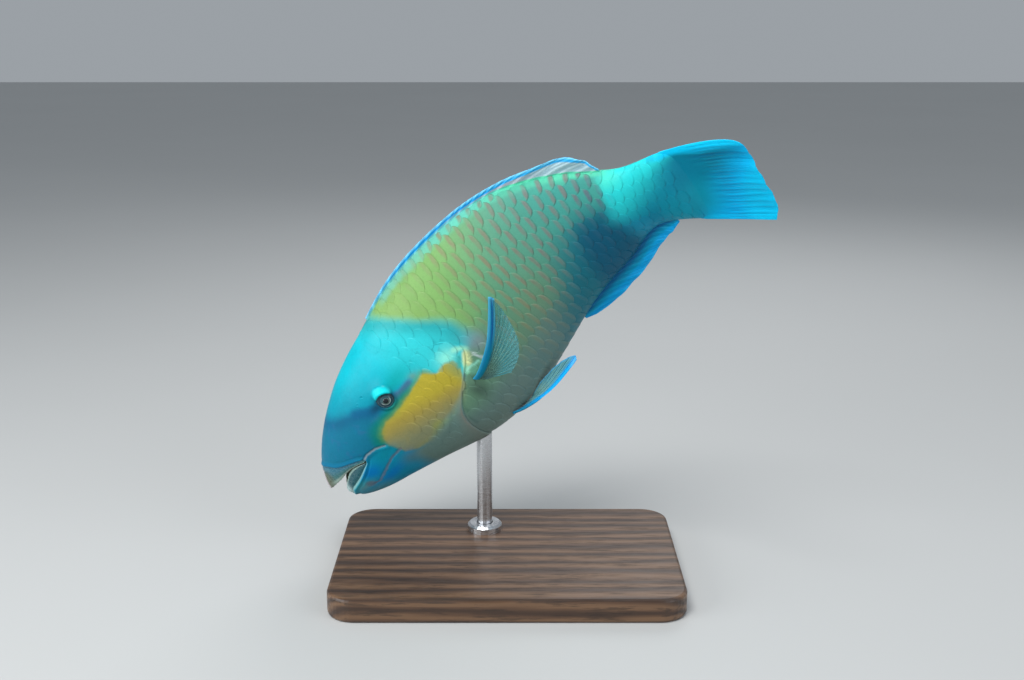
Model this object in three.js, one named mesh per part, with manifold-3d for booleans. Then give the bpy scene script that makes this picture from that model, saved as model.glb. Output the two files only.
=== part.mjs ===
// Life-size parrotfish (terminal-phase male) in a head-down turning pose, on a plain
// display stand. Millimetres, +Z up. The fish heads towards -X and down, its left side
// towards -Y. The origin is the middle of the model's box on the floor.
import * as THREE from 'three';
import { mergeVertices } from 'three/addons/utils/BufferGeometryUtils.js';
import Module from 'manifold-3d';

// ---------------------------------------------------------------- driving dimensions
const SL = 247;                    // standard length: snout tip to caudal fin base, mm
const HEAD_PITCH = 49.44;          // head-down pitch of the straight front half, degrees
const HEAD_YAW = 1.2;
const BANK = 11.05;                // roll of the back towards -Y, degrees
const BEND_SIDE = 56;              // sideways bend of the tail towards the left, degrees
const BEND_SIDE_FROM = 0.388, BEND_SIDE_TO = 1.20;   // where it starts and ends, in SL
const BEND_DOWN = -16;             // bend of the tail towards the belly, degrees
const BEND_DOWN_FROM = 0.42, BEND_DOWN_TO = 1.20;
const SPINE_REF_T = 0.4;           // the spine station that the next point places
const SPINE_REF = [-37.58, 22.15, 114.39];

// body profile: station (in SL), height of back and belly and half width (in SL)
const STATION = [0.0, 0.012, 0.04, 0.08, 0.13, 0.20, 0.30, 0.42, 0.55, 0.68, 0.80, 0.90, 1.0];
const BACK    = [0.0171, 0.0373, 0.0639, 0.0929, 0.1205, 0.1494, 0.174, 0.1945, 0.1918, 0.1727, 0.1259, 0.0801, 0.0856];
const BELLY   = [-0.0241, -0.0456, -0.0715, -0.0939, -0.1132, -0.1415, -0.1839, -0.2019, -0.1794, -0.1423, -0.1106, -0.0692, -0.0830];
const HALF_W  = [0.010, 0.024, 0.040, 0.055, 0.068, 0.082, 0.092, 0.094, 0.085, 0.066, 0.043, 0.028, 0.016];

// eye, orbit and gill cover
const EYE_T = 0.2455, EYE_Z = 0.068, EYE_R = 6.2, EYE_PROUD = 1.5;
const ORBIT_T = 0.252, ORBIT_Z = 0.0885, ORBIT_LIFT = 1.9;
const GILL_T0 = 0.300, GILL_BULGE = 0.128, GILL_Z = 0.03, GILL_SPREAD = 0.075;
const PEDUNCLE_T = 0.862;          // where the trunk ends and the tail starts

// fins
const MEDIAN_FIN_THICK = 0.8, PAIRED_FIN_THICK = 0.7, CAUDAL_THICK = 0.9;
const FIN_GAP = 0.35, CUT_GAP = 0.0024;   // mm, and SL along the spine

// stand
const BASE_L = 172, BASE_W = 112, BASE_H = 12, BASE_CORNER = 14, BASE_BEVEL = 1.5;
const BASE_AT = [-12, 3];
const ROD_R = 4, ROD_AT = [-24.0, 30.9], ROD_HOLE_R = 4.35, ROD_HOLE_DEPTH = 6;
const COLLAR_R = 9, COLLAR_H = 4;

const RING = 32;                   // points round a body section

// ---------------------------------------------------------------- small maths
const rad = (d) => d * Math.PI / 180;
const clamp = (v, a, b) => Math.min(b, Math.max(a, v));
const lerp = (a, b, u) => a + (b - a) * u;
const smooth = (u) => { u = clamp(u, 0, 1); return u * u * (3 - 2 * u); };
const V = (x, y, z) => new THREE.Vector3(x, y, z);

// smooth curve through the stations
function curve(xs, ys) {
  const n = xs.length;
  const m = xs.map((_, i) => {
    const a = Math.max(i - 1, 0), b = Math.min(i + 1, n - 1);
    return (ys[b] - ys[a]) / (xs[b] - xs[a]);
  });
  return (x) => {
    x = clamp(x, xs[0], xs[n - 1]);
    let i = 0;
    while (i < n - 2 && x >= xs[i + 1]) i++;
    const h = xs[i + 1] - xs[i], t = (x - xs[i]) / h, t2 = t * t, t3 = t2 * t;
    return (2 * t3 - 3 * t2 + 1) * ys[i] + (t3 - 2 * t2 + t) * h * m[i]
      + (-2 * t3 + 3 * t2) * ys[i + 1] + (t3 - t2) * h * m[i + 1];
  };
}
const backAt = curve(STATION, BACK), bellyAt = curve(STATION, BELLY), halfW = curve(STATION, HALF_W);

// ---------------------------------------------------------------- spine and its frames
const SPINE_STEPS = 496, SPINE_END = 1.24;
const spine = (() => {
  const P = rad(HEAD_PITCH), Y = rad(HEAD_YAW), R = rad(BANK);
  const T0 = V(Math.cos(P) * Math.cos(Y), Math.cos(P) * Math.sin(Y), Math.sin(P));
  const U0 = V(-Math.sin(P) * Math.cos(Y), -Math.sin(P) * Math.sin(Y), Math.cos(P));
  const S0 = V(Math.sin(Y), -Math.cos(Y), 0);
  let T = T0.clone();
  let N = U0.clone().multiplyScalar(Math.cos(R)).addScaledVector(S0, Math.sin(R));
  let L = S0.clone().multiplyScalar(Math.cos(R)).addScaledVector(U0, -Math.sin(R));
  let C = V(0, 0, 0);
  const side = (t) => rad(BEND_SIDE) * smooth((t - BEND_SIDE_FROM) / (BEND_SIDE_TO - BEND_SIDE_FROM));
  const down = (t) => rad(BEND_DOWN) * smooth((t - BEND_DOWN_FROM) / (BEND_DOWN_TO - BEND_DOWN_FROM));
  const out = [{ C: C.clone(), T: T.clone(), N: N.clone(), L: L.clone() }];
  const dt = SPINE_END / SPINE_STEPS;
  for (let i = 1; i <= SPINE_STEPS; i++) {
    const t = i * dt, kl = side(t) - side(t - dt), kv = down(t) - down(t - dt);
    const Tn = T.clone().addScaledVector(L, kl).addScaledVector(N, kv).normalize();
    const Nn = N.clone().addScaledVector(Tn, -N.dot(Tn)).normalize();
    const Ln = Tn.clone().cross(Nn);
    C = C.clone().addScaledVector(T, dt * SL / 2).addScaledVector(Tn, dt * SL / 2);
    T = Tn; N = Nn; L = Ln;
    out.push({ C: C.clone(), T: T.clone(), N: N.clone(), L: L.clone() });
  }
  const k = Math.round(SPINE_REF_T / dt), ref = out[k].C.clone();
  const shift = V(...SPINE_REF).sub(ref);
  for (const f of out) f.C.add(shift);
  return out;
})();
function frame(t) {
  const dt = SPINE_END / SPINE_STEPS;
  if (t < 0) {
    const f = spine[0];
    return { C: f.C.clone().addScaledVector(f.T, t * SL), T: f.T, N: f.N, L: f.L };
  }
  const x = clamp(t / dt, 0, SPINE_STEPS - 1e-6), i = Math.floor(x), u = x - i;
  const a = spine[i], b = spine[i + 1];
  return {
    C: a.C.clone().lerp(b.C, u), T: a.T.clone().lerp(b.T, u).normalize(),
    N: a.N.clone().lerp(b.N, u).normalize(), L: a.L.clone().lerp(b.L, u).normalize(),
  };
}
// a point by station, sideways and up, all in SL (sideways > 0 is the fish's left)
function at(t, y, z) {
  const f = frame(t);
  return f.C.clone().addScaledVector(f.L, y * SL).addScaledVector(f.N, z * SL);
}

// ---------------------------------------------------------------- body surface
function section(t, phi) {
  const zt = backAt(t), zb = bellyAt(t), w = halfW(t), zm = (zt + zb) / 2 + 0.05 * (zt - zb);
  const c = Math.cos(phi), s = Math.sin(phi);
  const z = zm + (c > 0 ? (zt - zm) * c : (zm - zb) * c);
  let y = w * Math.sign(s) * Math.pow(Math.abs(s), 1.1);
  // brow over each eye
  const g = Math.exp(-(((t - ORBIT_T) / 0.022) ** 2) - ((z - ORBIT_Z) / 0.013) ** 2);
  if (Math.abs(s) > 0.2) y += Math.sign(s) * ORBIT_LIFT / SL * g;
  return [y, z];
}
const skin = (t, phi) => { const [y, z] = section(t, phi); return at(t, y, z); };
function halfWidthAt(t, z) {
  const zt = backAt(t), zb = bellyAt(t), zm = (zt + zb) / 2 + 0.05 * (zt - zb);
  const c = clamp(z > zm ? (z - zm) / (zt - zm) : (zm - z) / (zm - zb), 0, 1);
  return halfW(t) * Math.pow(Math.sqrt(Math.max(0, 1 - c * c)), 1.1);
}
// height of the underside, by station and sideways distance
function undersideAt(t, y) {
  const zt = backAt(t), zb = bellyAt(t), zm = (zt + zb) / 2 + 0.05 * (zt - zb);
  const s = Math.pow(clamp(y / halfW(t), 0, 1), 1 / 1.1);
  return zm - (zm - zb) * Math.sqrt(1 - s * s);
}
// rear edge of the gill cover, by height
const gillT = (z) => GILL_T0 + GILL_BULGE * Math.exp(-(((z - GILL_Z) / GILL_SPREAD) ** 2));
function gillStation(phi, extra) {
  let t = 0.36;
  for (let i = 0; i < 12; i++) t = gillT(section(t, phi)[1]);
  return t + extra;
}

// ---------------------------------------------------------------- mesh helpers
function meshGeometry(verts, tris) {
  const g = new THREE.BufferGeometry();
  g.setAttribute('position', new THREE.Float32BufferAttribute(verts.flatMap((v) => [v.x, v.y, v.z]), 3));
  g.setIndex(tris.flat());
  g.computeVertexNormals();
  return g;
}
// closed loft: rows of equal rings, each end closed round a middle point
function loft(rows, endA, endB) {
  const n = rows[0].length, verts = rows.flat(), tris = [];
  for (let i = 0; i < rows.length - 1; i++) {
    for (let j = 0; j < n; j++) {
      const a = i * n + j, b = i * n + (j + 1) % n, c = a + n, d = b + n;
      tris.push([a, c, b], [b, c, d]);
    }
  }
  const ia = verts.length; verts.push(endA);
  const ib = verts.length; verts.push(endB);
  const last = (rows.length - 1) * n;
  for (let j = 0; j < n; j++) {
    tris.push([ia, j, (j + 1) % n]);
    tris.push([ib, last + (j + 1) % n, last + j]);
  }
  return orient(meshGeometry(verts, tris));
}
// a thin blade: patch(a, b) with a, b in 0..1, given a thickness and closed round its edge
function blade(patch, na, nb, thick) {
  const P = [], N = [];
  const h = 1e-3;
  for (let i = 0; i <= na; i++) for (let j = 0; j <= nb; j++) {
    const a = i / na, b = j / nb;
    P.push(patch(a, b));
    const da = patch(Math.min(1, a + h), b).sub(patch(Math.max(0, a - h), b));
    const db = patch(a, Math.min(1, b + h)).sub(patch(a, Math.max(0, b - h)));
    N.push(da.cross(db).normalize());
  }
  const W = nb + 1, M = P.length, verts = [], tris = [];
  for (let k = 0; k < M; k++) verts.push(P[k].clone().addScaledVector(N[k], thick / 2));
  for (let k = 0; k < M; k++) verts.push(P[k].clone().addScaledVector(N[k], -thick / 2));
  for (let i = 0; i < na; i++) for (let j = 0; j < nb; j++) {
    const a = i * W + j, b = a + 1, c = a + W, d = c + 1;
    tris.push([a, c, b], [b, c, d], [M + a, M + b, M + c], [M + b, M + d, M + c]);
  }
  const rim = [];
  for (let j = 0; j < nb; j++) rim.push([j, j + 1]);
  for (let i = 0; i < na; i++) rim.push([i * W + nb, (i + 1) * W + nb]);
  for (let j = nb; j > 0; j--) rim.push([na * W + j, na * W + j - 1]);
  for (let i = na; i > 0; i--) rim.push([i * W, (i - 1) * W]);
  for (const [p, q] of rim) tris.push([p, q, M + p], [q, M + q, M + p]);
  return orient(meshGeometry(verts, tris));
}
function orient(g) {
  const p = g.attributes.position, ix = g.index.array;
  let vol = 0;
  const a = V(0, 0, 0), b = V(0, 0, 0), c = V(0, 0, 0);
  for (let i = 0; i < ix.length; i += 3) {
    a.fromBufferAttribute(p, ix[i]); b.fromBufferAttribute(p, ix[i + 1]); c.fromBufferAttribute(p, ix[i + 2]);
    vol += a.dot(b.clone().cross(c));
  }
  if (vol < 0) {
    for (let i = 0; i < ix.length; i += 3) { const s = ix[i]; ix[i] = ix[i + 1]; ix[i + 1] = s; }
    g.computeVertexNormals();
  }
  return g;
}

// ---------------------------------------------------------------- joins and cuts
const wasm = await Module();
wasm.setup();
function solid(g) {
  let q = g.clone();
  q.deleteAttribute('normal');
  if (q.attributes.uv) q.deleteAttribute('uv');
  q = mergeVertices(q, 1e-4);
  return new wasm.Manifold(new wasm.Mesh({
    numProp: 3,
    vertProperties: new Float32Array(q.attributes.position.array),
    triVerts: new Uint32Array(q.index.array),
  }));
}
function fromSolid(m) {
  const k = m.getMesh(), g = new THREE.BufferGeometry(), pos = [];
  for (let i = 0; i < k.vertProperties.length; i += k.numProp) {
    pos.push(k.vertProperties[i], k.vertProperties[i + 1], k.vertProperties[i + 2]);
  }
  g.setAttribute('position', new THREE.Float32BufferAttribute(pos, 3));
  g.setIndex([...k.triVerts]);
  g.computeVertexNormals();
  return g;
}
function moved(g, x, y, z) { const q = g.clone(); q.translate(x, y, z); return q; }

// a slab cut out of the side view: outline in (station, height), swept across the head
function sideSlab(outline, half) {
  const front = outline.map(([t, z]) => at(t, -half, z)), back = outline.map(([t, z]) => at(t, half, z));
  const flat = outline.map(([t, z]) => new THREE.Vector2(t, z));
  // the cap triangles run the same way round as the outline, so that the walls match them
  const turn = Math.sign(THREE.ShapeUtils.area(flat));
  const caps = THREE.ShapeUtils.triangulateShape(flat, []).map(([a, b, c]) => {
    const [A, B, C] = [flat[a], flat[b], flat[c]];
    const s = (B.x - A.x) * (C.y - A.y) - (C.x - A.x) * (B.y - A.y);
    return Math.sign(s) === turn ? [a, b, c] : [a, c, b];
  });
  const n = outline.length, verts = [...front, ...back], tris = [];
  for (const [a, b, c] of caps) { tris.push([a, b, c]); tris.push([n + a, n + c, n + b]); }
  for (let i = 0; i < n; i++) { const j = (i + 1) % n; tris.push([i, n + i, j], [j, n + i, n + j]); }
  return orient(meshGeometry(verts, tris));
}

// ---------------------------------------------------------------- materials
const mat = (color, roughness, metalness = 0) => new THREE.MeshStandardMaterial({ color, roughness, metalness });
const M_HEAD = mat(0x17b8c8, 0.4), M_TRUNK = mat(0x4f9a76, 0.4), M_TAIL = mat(0x1fb8b0, 0.4);
const M_FIN = mat(0x1585c8, 0.45), M_EYE = mat(0x3a4652, 0.1), M_BEAK = mat(0x9fb8a8, 0.3);
const M_WOOD = mat(0x4a3224, 0.5), M_STEEL = mat(0xb8bcc0, 0.3, 1);

// ---------------------------------------------------------------- head
const ringPhi = (j) => (j + 0.5) / RING * 2 * Math.PI;
const ring = (tf) => Array.from({ length: RING }, (_, j) => skin(tf(ringPhi(j)), ringPhi(j)));

const HEAD_ROWS = 22;
const headRows = [];
for (let i = 0; i <= HEAD_ROWS; i++) {
  const u = i / HEAD_ROWS, e = Math.pow(u, 1.35);
  headRows.push(ring((phi) => lerp(0, gillStation(phi, 0), e)));
}
const headWhole = loft(headRows, at(-0.003, 0, -0.002), at(0.372, 0, 0.0));

// mouth, in the side view: the two beaks and the gape between them
const BEAK_UPPER = [[-0.05, 0.040], [0.012, 0.0385], [0.0345, 0.0380], [0.0527, 0.0325], [0.0697, 0.0283],
  [0.0859, 0.0234], [0.0981, 0.0180], [0.1040, 0.0130], [0.0985, 0.0118], [0.0899, 0.0138], [0.0780, 0.0165],
  [0.0607, 0.0157], [0.0443, 0.0128], [0.0281, 0.0048], [0.0162, 0.0010], [-0.003, -0.0008], [-0.05, 0.0]];
const BEAK_LOWER = [[-0.05, -0.030], [0.010, -0.0265], [0.0165, -0.0240], [0.0243, -0.0200], [0.0318, -0.0066],
  [0.0424, 0.0030], [0.0553, 0.0098], [0.0695, 0.0122], [0.0835, 0.0110], [0.0952, 0.0078], [0.1020, 0.0030],
  [0.0921, -0.0025], [0.0737, -0.0100], [0.0544, -0.0181], [0.0374, -0.0260], [0.022, -0.0440], [-0.05, -0.062]];
const GAPE = [[-0.05, 0.0], [-0.003, -0.0008], [0.0162, 0.0010], [0.0281, 0.0048], [0.0443, 0.0128], [0.0607, 0.0157],
  [0.0780, 0.0165], [0.0899, 0.0138], [0.0985, 0.0118], [0.0952, 0.0078], [0.0835, 0.0110], [0.0695, 0.0122],
  [0.0553, 0.0098], [0.0424, 0.0030], [0.0318, -0.0066], [0.0243, -0.0200], [0.0165, -0.0240], [0.010, -0.0265], [-0.05, -0.030]];
function grow(outline, by) {   // moves an outline outwards by a distance in SL
  const n = outline.length;
  let area = 0;
  for (let i = 0; i < n; i++) {
    const [x0, y0] = outline[i], [x1, y1] = outline[(i + 1) % n];
    area += x0 * y1 - x1 * y0;
  }
  const sgn = Math.sign(area);
  return outline.map(([x, y], i) => {
    const [px, py] = outline[(i + n - 1) % n], [qx, qy] = outline[(i + 1) % n];
    const a = new THREE.Vector2(x - px, y - py).normalize(), b = new THREE.Vector2(qx - x, qy - y).normalize();
    const na = new THREE.Vector2(a.y, -a.x).multiplyScalar(sgn), nb = new THREE.Vector2(b.y, -b.x).multiplyScalar(sgn);
    const m = na.clone().add(nb).normalize(), k = by / Math.max(0.45, m.dot(na));
    return [x + m.x * k, y + m.y * k];
  });
}
const GAP_SL = 0.35 / SL;
const headSolid = solid(headWhole);
const eyeGeometry = (side) => {
  const g = new THREE.SphereGeometry(EYE_R, 18, 12);
  const y = halfWidthAt(EYE_T, EYE_Z) * SL + EYE_PROUD - EYE_R;
  const p = at(EYE_T, side * y / SL, EYE_Z);
  g.translate(p.x, p.y, p.z);
  return { g, p };
};
const eyeL = eyeGeometry(1), eyeR = eyeGeometry(-1);
const socket = (p) => { const g = new THREE.SphereGeometry(EYE_R + 0.35, 18, 12); g.translate(p.x, p.y, p.z); return solid(g); };

let head = headSolid
  .subtract(solid(sideSlab(grow(BEAK_UPPER, GAP_SL), 0.12)))
  .subtract(solid(sideSlab(grow(BEAK_LOWER, GAP_SL), 0.12)))
  .subtract(solid(sideSlab(GAPE, 0.12)))
  .subtract(socket(eyeL.p)).subtract(socket(eyeR.p));
const beakUpper = headSolid.intersect(solid(sideSlab(BEAK_UPPER, 0.12)));
const beakLower = headSolid.intersect(solid(sideSlab(BEAK_LOWER, 0.12)));

// ---------------------------------------------------------------- trunk and tail
const TRUNK_ROWS = 17;
const trunkRows = [];
for (let i = 0; i <= TRUNK_ROWS; i++) {
  const u = i / TRUNK_ROWS;
  trunkRows.push(ring((phi) => lerp(gillStation(phi, CUT_GAP), PEDUNCLE_T, u)));
}
const trunk = loft(trunkRows, at(0.372 + CUT_GAP, 0, 0.0), at(PEDUNCLE_T, 0, 0.0));
const TAIL_ROWS = 6;
const tailRows = [];
for (let i = 0; i <= TAIL_ROWS; i++) tailRows.push(ring(() => lerp(PEDUNCLE_T + 0.0016, 1.0, i / TAIL_ROWS)));
const tail = loft(tailRows, at(PEDUNCLE_T + 0.0016, 0, 0.0), at(1.0, 0, 0.004));

// ---------------------------------------------------------------- median fins
// dorsal fin: folded low, tallest near its rear end
const DORSAL_T = [0.335, 0.40, 0.47, 0.60, 0.68, 0.74, 0.79, 0.835, 0.858, 0.872];
const DORSAL_H = [0.8, 2.2, 3.0, 3.5, 4.0, 5.6, 8.0, 9.8, 7.6, 1.0];
const dorsalH = curve(DORSAL_T, DORSAL_H);
const dorsal = blade((a, b) => {
  const t = lerp(DORSAL_T[0], DORSAL_T[DORSAL_T.length - 1], a);
  return at(t, 0, backAt(t) + (FIN_GAP + b * Math.max(0.5, dorsalH(t))) / SL);
}, 36, 2, MEDIAN_FIN_THICK);

const ANAL_T = [0.622, 0.65, 0.70, 0.79, 0.87, 0.915, 0.945];
const ANAL_H = [0.8, 5.0, 8.6, 9.2, 8.6, 6.0, 1.0];
const analH = curve(ANAL_T, ANAL_H);
const anal = blade((a, b) => {
  const t = lerp(ANAL_T[0], ANAL_T[ANAL_T.length - 1], a);
  return at(t, 0, bellyAt(t) - (FIN_GAP + b * Math.max(0.5, analH(t))) / SL);
}, 26, 2, MEDIAN_FIN_THICK);

// caudal fin: half closed, the upper margin bowed, the lower one nearly straight
const CAUDAL_BASE = 1.0 + 0.4 / SL;
const CAUDAL_REAR_T = [1.158, 1.169, 1.178, 1.184, 1.187];
const CAUDAL_REAR_Z = [-0.1015, -0.059, -0.017, 0.026, 0.066];
const CAUDAL_U = [-1, -0.5, 0, 0.5, 1];
const caudalRearT = curve(CAUDAL_U, CAUDAL_REAR_T), caudalRearZ = curve(CAUDAL_U, CAUDAL_REAR_Z);
const caudal = blade((a, b) => {
  const u = lerp(-1, 1, a);
  const z0 = 0.0013 + u * 0.0815;
  const bow = (u > 0 ? 0.0160 : 0.0060) * Math.sign(u) * Math.abs(u) ** 1.6 * Math.sin(Math.PI * Math.pow(b, 0.85));
  return at(lerp(CAUDAL_BASE, caudalRearT(u), b), 0, lerp(z0, caudalRearZ(u), b) + bow);
}, 16, 10, CAUDAL_THICK);

// ---------------------------------------------------------------- paired fins
// fans: a base line on the body and a row of ray tips, both (station, sideways, height)
const PECTORAL_BASE = [[0.3835, 0.0935, -0.040], [0.3815, 0.0915, -0.058], [0.374, 0.0870, -0.074]];
const PECTORAL_TIPS = [[0.5764, 0.170, 0.0803], [0.5586, 0.165, 0.0329], [0.5307, 0.150, -0.0296],
  [0.4843, 0.130, -0.0697], [0.4308, 0.108, -0.0781]];
const PELVIC_BASE = [[0.3712, 0.0440], [0.3840, 0.0385], [0.3960, 0.0320]]
  .map(([t, y]) => [t, y, undersideAt(t, y) - 1.0 / SL]);
const PELVIC_TIPS = [[0.5574, 0.066, -0.1874], [0.5480, 0.061, -0.1830], [0.5350, 0.056, -0.1795],
  [0.5130, 0.051, -0.1790], [0.4750, 0.044, -0.1830]];
const along = (pts) => {
  const us = pts.map((_, i) => i / (pts.length - 1));
  const c = [0, 1, 2].map((k) => curve(us, pts.map((p) => p[k])));
  return (u) => c.map((f) => f(u));
};
function fan(baseLine, tips, bow, side) {
  const B = along(baseLine), R = along(tips);
  return (a, b) => {
    const p = B(a), q = R(a), k = Math.sin(Math.PI * b) * (1 - a);
    return at(lerp(p[0], q[0], b), side * (lerp(p[1], q[1], b) + bow[1] * k), lerp(p[2], q[2], b) + bow[2] * k);
  };
}
const PECTORAL_BOW = [0, 0.012, -0.004], PELVIC_BOW = [0, 0.006, -0.016];
const pectoral = (side) => blade(fan(PECTORAL_BASE, PECTORAL_TIPS, PECTORAL_BOW, side), 10, 10, PAIRED_FIN_THICK);
const pelvic = (side) => blade(fan(PELVIC_BASE, PELVIC_TIPS, PELVIC_BOW, side), 6, 10, PAIRED_FIN_THICK);

// ---------------------------------------------------------------- stand
function roundedBase() {
  const l = BASE_L / 2 - BASE_BEVEL, w = BASE_W / 2 - BASE_BEVEL, r = BASE_CORNER - BASE_BEVEL;
  const s = new THREE.Shape();
  s.moveTo(-l + r, -w);
  s.lineTo(l - r, -w); s.absarc(l - r, -w + r, r, -Math.PI / 2, 0, false);
  s.lineTo(l, w - r); s.absarc(l - r, w - r, r, 0, Math.PI / 2, false);
  s.lineTo(-l + r, w); s.absarc(-l + r, w - r, r, Math.PI / 2, Math.PI, false);
  s.lineTo(-l, -w + r); s.absarc(-l + r, -w + r, r, Math.PI, 1.5 * Math.PI, false);
  const g = new THREE.ExtrudeGeometry(s, {
    depth: BASE_H - 2 * BASE_BEVEL, bevelEnabled: true, bevelThickness: BASE_BEVEL,
    bevelSize: BASE_BEVEL, bevelSegments: 2, curveSegments: 5,
  });
  g.translate(BASE_AT[0], BASE_AT[1], BASE_BEVEL);
  return g;
}
const rodTop = 120;
const rodHole = new THREE.CylinderGeometry(ROD_HOLE_R, ROD_HOLE_R, 40, 24);
rodHole.rotateX(Math.PI / 2);
rodHole.translate(ROD_AT[0], ROD_AT[1], BASE_H - ROD_HOLE_DEPTH + 20);
const standBase = solid(roundedBase()).subtract(solid(rodHole));

const rodLow = BASE_H - ROD_HOLE_DEPTH + 0.3;
const rodBlank = new THREE.CylinderGeometry(ROD_R, ROD_R, rodTop - rodLow, 24);
rodBlank.rotateX(Math.PI / 2);
rodBlank.translate(ROD_AT[0], ROD_AT[1], (rodTop + rodLow) / 2);
// the rod's top end follows the fish's underside, a little below it
const bodyBlank = (() => {
  const rows = [];
  for (let i = 0; i <= 30; i++) rows.push(ring(() => lerp(0.06, 0.7, i / 30)));
  return loft(rows, at(0.06, 0, 0), at(0.7, 0, 0));
})();
const rodCut = solid(rodBlank).subtract(solid(moved(bodyBlank, 0, 0, -0.45)));
const rodPieces = rodCut.decompose();
let rod = rodPieces[0];
for (const p of rodPieces) if (p.boundingBox().min[2] < rod.boundingBox().min[2]) rod = p;

const collar = new THREE.LatheGeometry([
  new THREE.Vector2(ROD_HOLE_R, 0), new THREE.Vector2(COLLAR_R, 0), new THREE.Vector2(COLLAR_R, COLLAR_H - 1.2),
  new THREE.Vector2(COLLAR_R - 1.2, COLLAR_H), new THREE.Vector2(ROD_HOLE_R, COLLAR_H), new THREE.Vector2(ROD_HOLE_R, 0),
], 28);
collar.rotateX(Math.PI / 2);
collar.translate(ROD_AT[0], ROD_AT[1], BASE_H + 0.02);

// ---------------------------------------------------------------- the model
const model = new THREE.Group();
function add(name, geometry, material) {
  const m = new THREE.Mesh(geometry, material);
  m.name = name;
  model.add(m);
}
add('head', fromSolid(head), M_HEAD);
add('trunk', trunk, M_TRUNK);
add('tail', tail, M_TAIL);
add('caudal_fin', caudal, M_FIN);
add('dorsal_fin', dorsal, M_FIN);
add('anal_fin', anal, M_FIN);
add('pectoral_fin_left', pectoral(1), M_FIN);
add('pectoral_fin_right', pectoral(-1), M_FIN);
add('pelvic_fin_left', pelvic(1), M_FIN);
add('pelvic_fin_right', pelvic(-1), M_FIN);
add('eye_left', eyeL.g, M_EYE);
add('eye_right', eyeR.g, M_EYE);
add('beak_upper', fromSolid(beakUpper), M_BEAK);
add('beak_lower', fromSolid(beakLower), M_BEAK);
add('stand_base', fromSolid(standBase), M_WOOD);
add('stand_collar', collar, M_STEEL);
add('stand_rod', fromSolid(rod), M_STEEL);

export default model;
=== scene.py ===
import bpy
import numpy as np
from math import pi, cos, sin, radians
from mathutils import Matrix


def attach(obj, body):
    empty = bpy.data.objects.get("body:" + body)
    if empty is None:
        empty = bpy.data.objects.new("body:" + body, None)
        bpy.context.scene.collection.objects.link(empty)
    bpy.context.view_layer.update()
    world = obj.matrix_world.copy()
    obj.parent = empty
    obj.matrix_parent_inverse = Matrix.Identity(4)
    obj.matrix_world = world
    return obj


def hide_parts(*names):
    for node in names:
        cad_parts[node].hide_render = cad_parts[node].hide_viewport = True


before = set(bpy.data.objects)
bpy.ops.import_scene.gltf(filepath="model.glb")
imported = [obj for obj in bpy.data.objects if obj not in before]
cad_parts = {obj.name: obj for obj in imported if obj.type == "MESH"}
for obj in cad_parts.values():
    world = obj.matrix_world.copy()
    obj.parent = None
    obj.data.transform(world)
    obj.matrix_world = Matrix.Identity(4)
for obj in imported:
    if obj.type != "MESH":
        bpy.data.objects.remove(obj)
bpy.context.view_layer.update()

MM = 0.001
rng = np.random.default_rng(7)

# ================================================================ the fish's own shape
# The same spine, profiles and sections as the solids, here in metres.
SL = 0.247
HEAD_PITCH, HEAD_YAW, BANK = 49.44, 1.2, 11.05
BEND_SIDE, BEND_SIDE_FROM, BEND_SIDE_TO = 56.0, 0.388, 1.20
BEND_DOWN, BEND_DOWN_FROM, BEND_DOWN_TO = -16.0, 0.42, 1.20
SPINE_REF_T, SPINE_REF = 0.4, np.array([-0.03758, 0.02215, 0.11439])
STATION = [0.0, 0.012, 0.04, 0.08, 0.13, 0.20, 0.30, 0.42, 0.55, 0.68, 0.80, 0.90, 1.0]
BACK = [0.0171, 0.0373, 0.0639, 0.0929, 0.1205, 0.1494, 0.174, 0.1945, 0.1918, 0.1727, 0.1259, 0.0801, 0.0856]
BELLY = [-0.0241, -0.0456, -0.0715, -0.0939, -0.1132, -0.1415, -0.1839, -0.2019, -0.1794, -0.1423, -0.1106, -0.0692, -0.0830]
HALF_W = [0.010, 0.024, 0.040, 0.055, 0.068, 0.082, 0.092, 0.094, 0.085, 0.066, 0.043, 0.028, 0.016]
EYE_T, EYE_Z, EYE_R, EYE_PROUD = 0.2455, 0.068, 0.0062, 0.0015
ORBIT_T, ORBIT_Z, ORBIT_LIFT = 0.252, 0.0885, 0.0019


def smooth(u):
    u = np.clip(u, 0.0, 1.0)
    return u * u * (3 - 2 * u)


def step(x, a, b):
    """0 below a, 1 above b, smooth between (a may be above b)."""
    return smooth((x - a) / (b - a))


def curve(xs, ys):
    xs, ys = np.asarray(xs, float), np.asarray(ys, float)
    n = len(xs)
    a, b = np.maximum(np.arange(n) - 1, 0), np.minimum(np.arange(n) + 1, n - 1)
    m = (ys[b] - ys[a]) / (xs[b] - xs[a])

    def f(x):
        x = np.clip(np.asarray(x, float), xs[0], xs[-1])
        i = np.clip(np.searchsorted(xs, x, side="right") - 1, 0, n - 2)
        h = xs[i + 1] - xs[i]
        t = (x - xs[i]) / h
        t2, t3 = t * t, t * t * t
        return ((2 * t3 - 3 * t2 + 1) * ys[i] + (t3 - 2 * t2 + t) * h * m[i]
                + (-2 * t3 + 3 * t2) * ys[i + 1] + (t3 - t2) * h * m[i + 1])
    return f


back_at, belly_at, half_w = curve(STATION, BACK), curve(STATION, BELLY), curve(STATION, HALF_W)


def unit(v):
    return v / np.maximum(np.linalg.norm(v, axis=-1, keepdims=True), 1e-12)


SPINE_STEPS, SPINE_END = 496, 1.24


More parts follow.
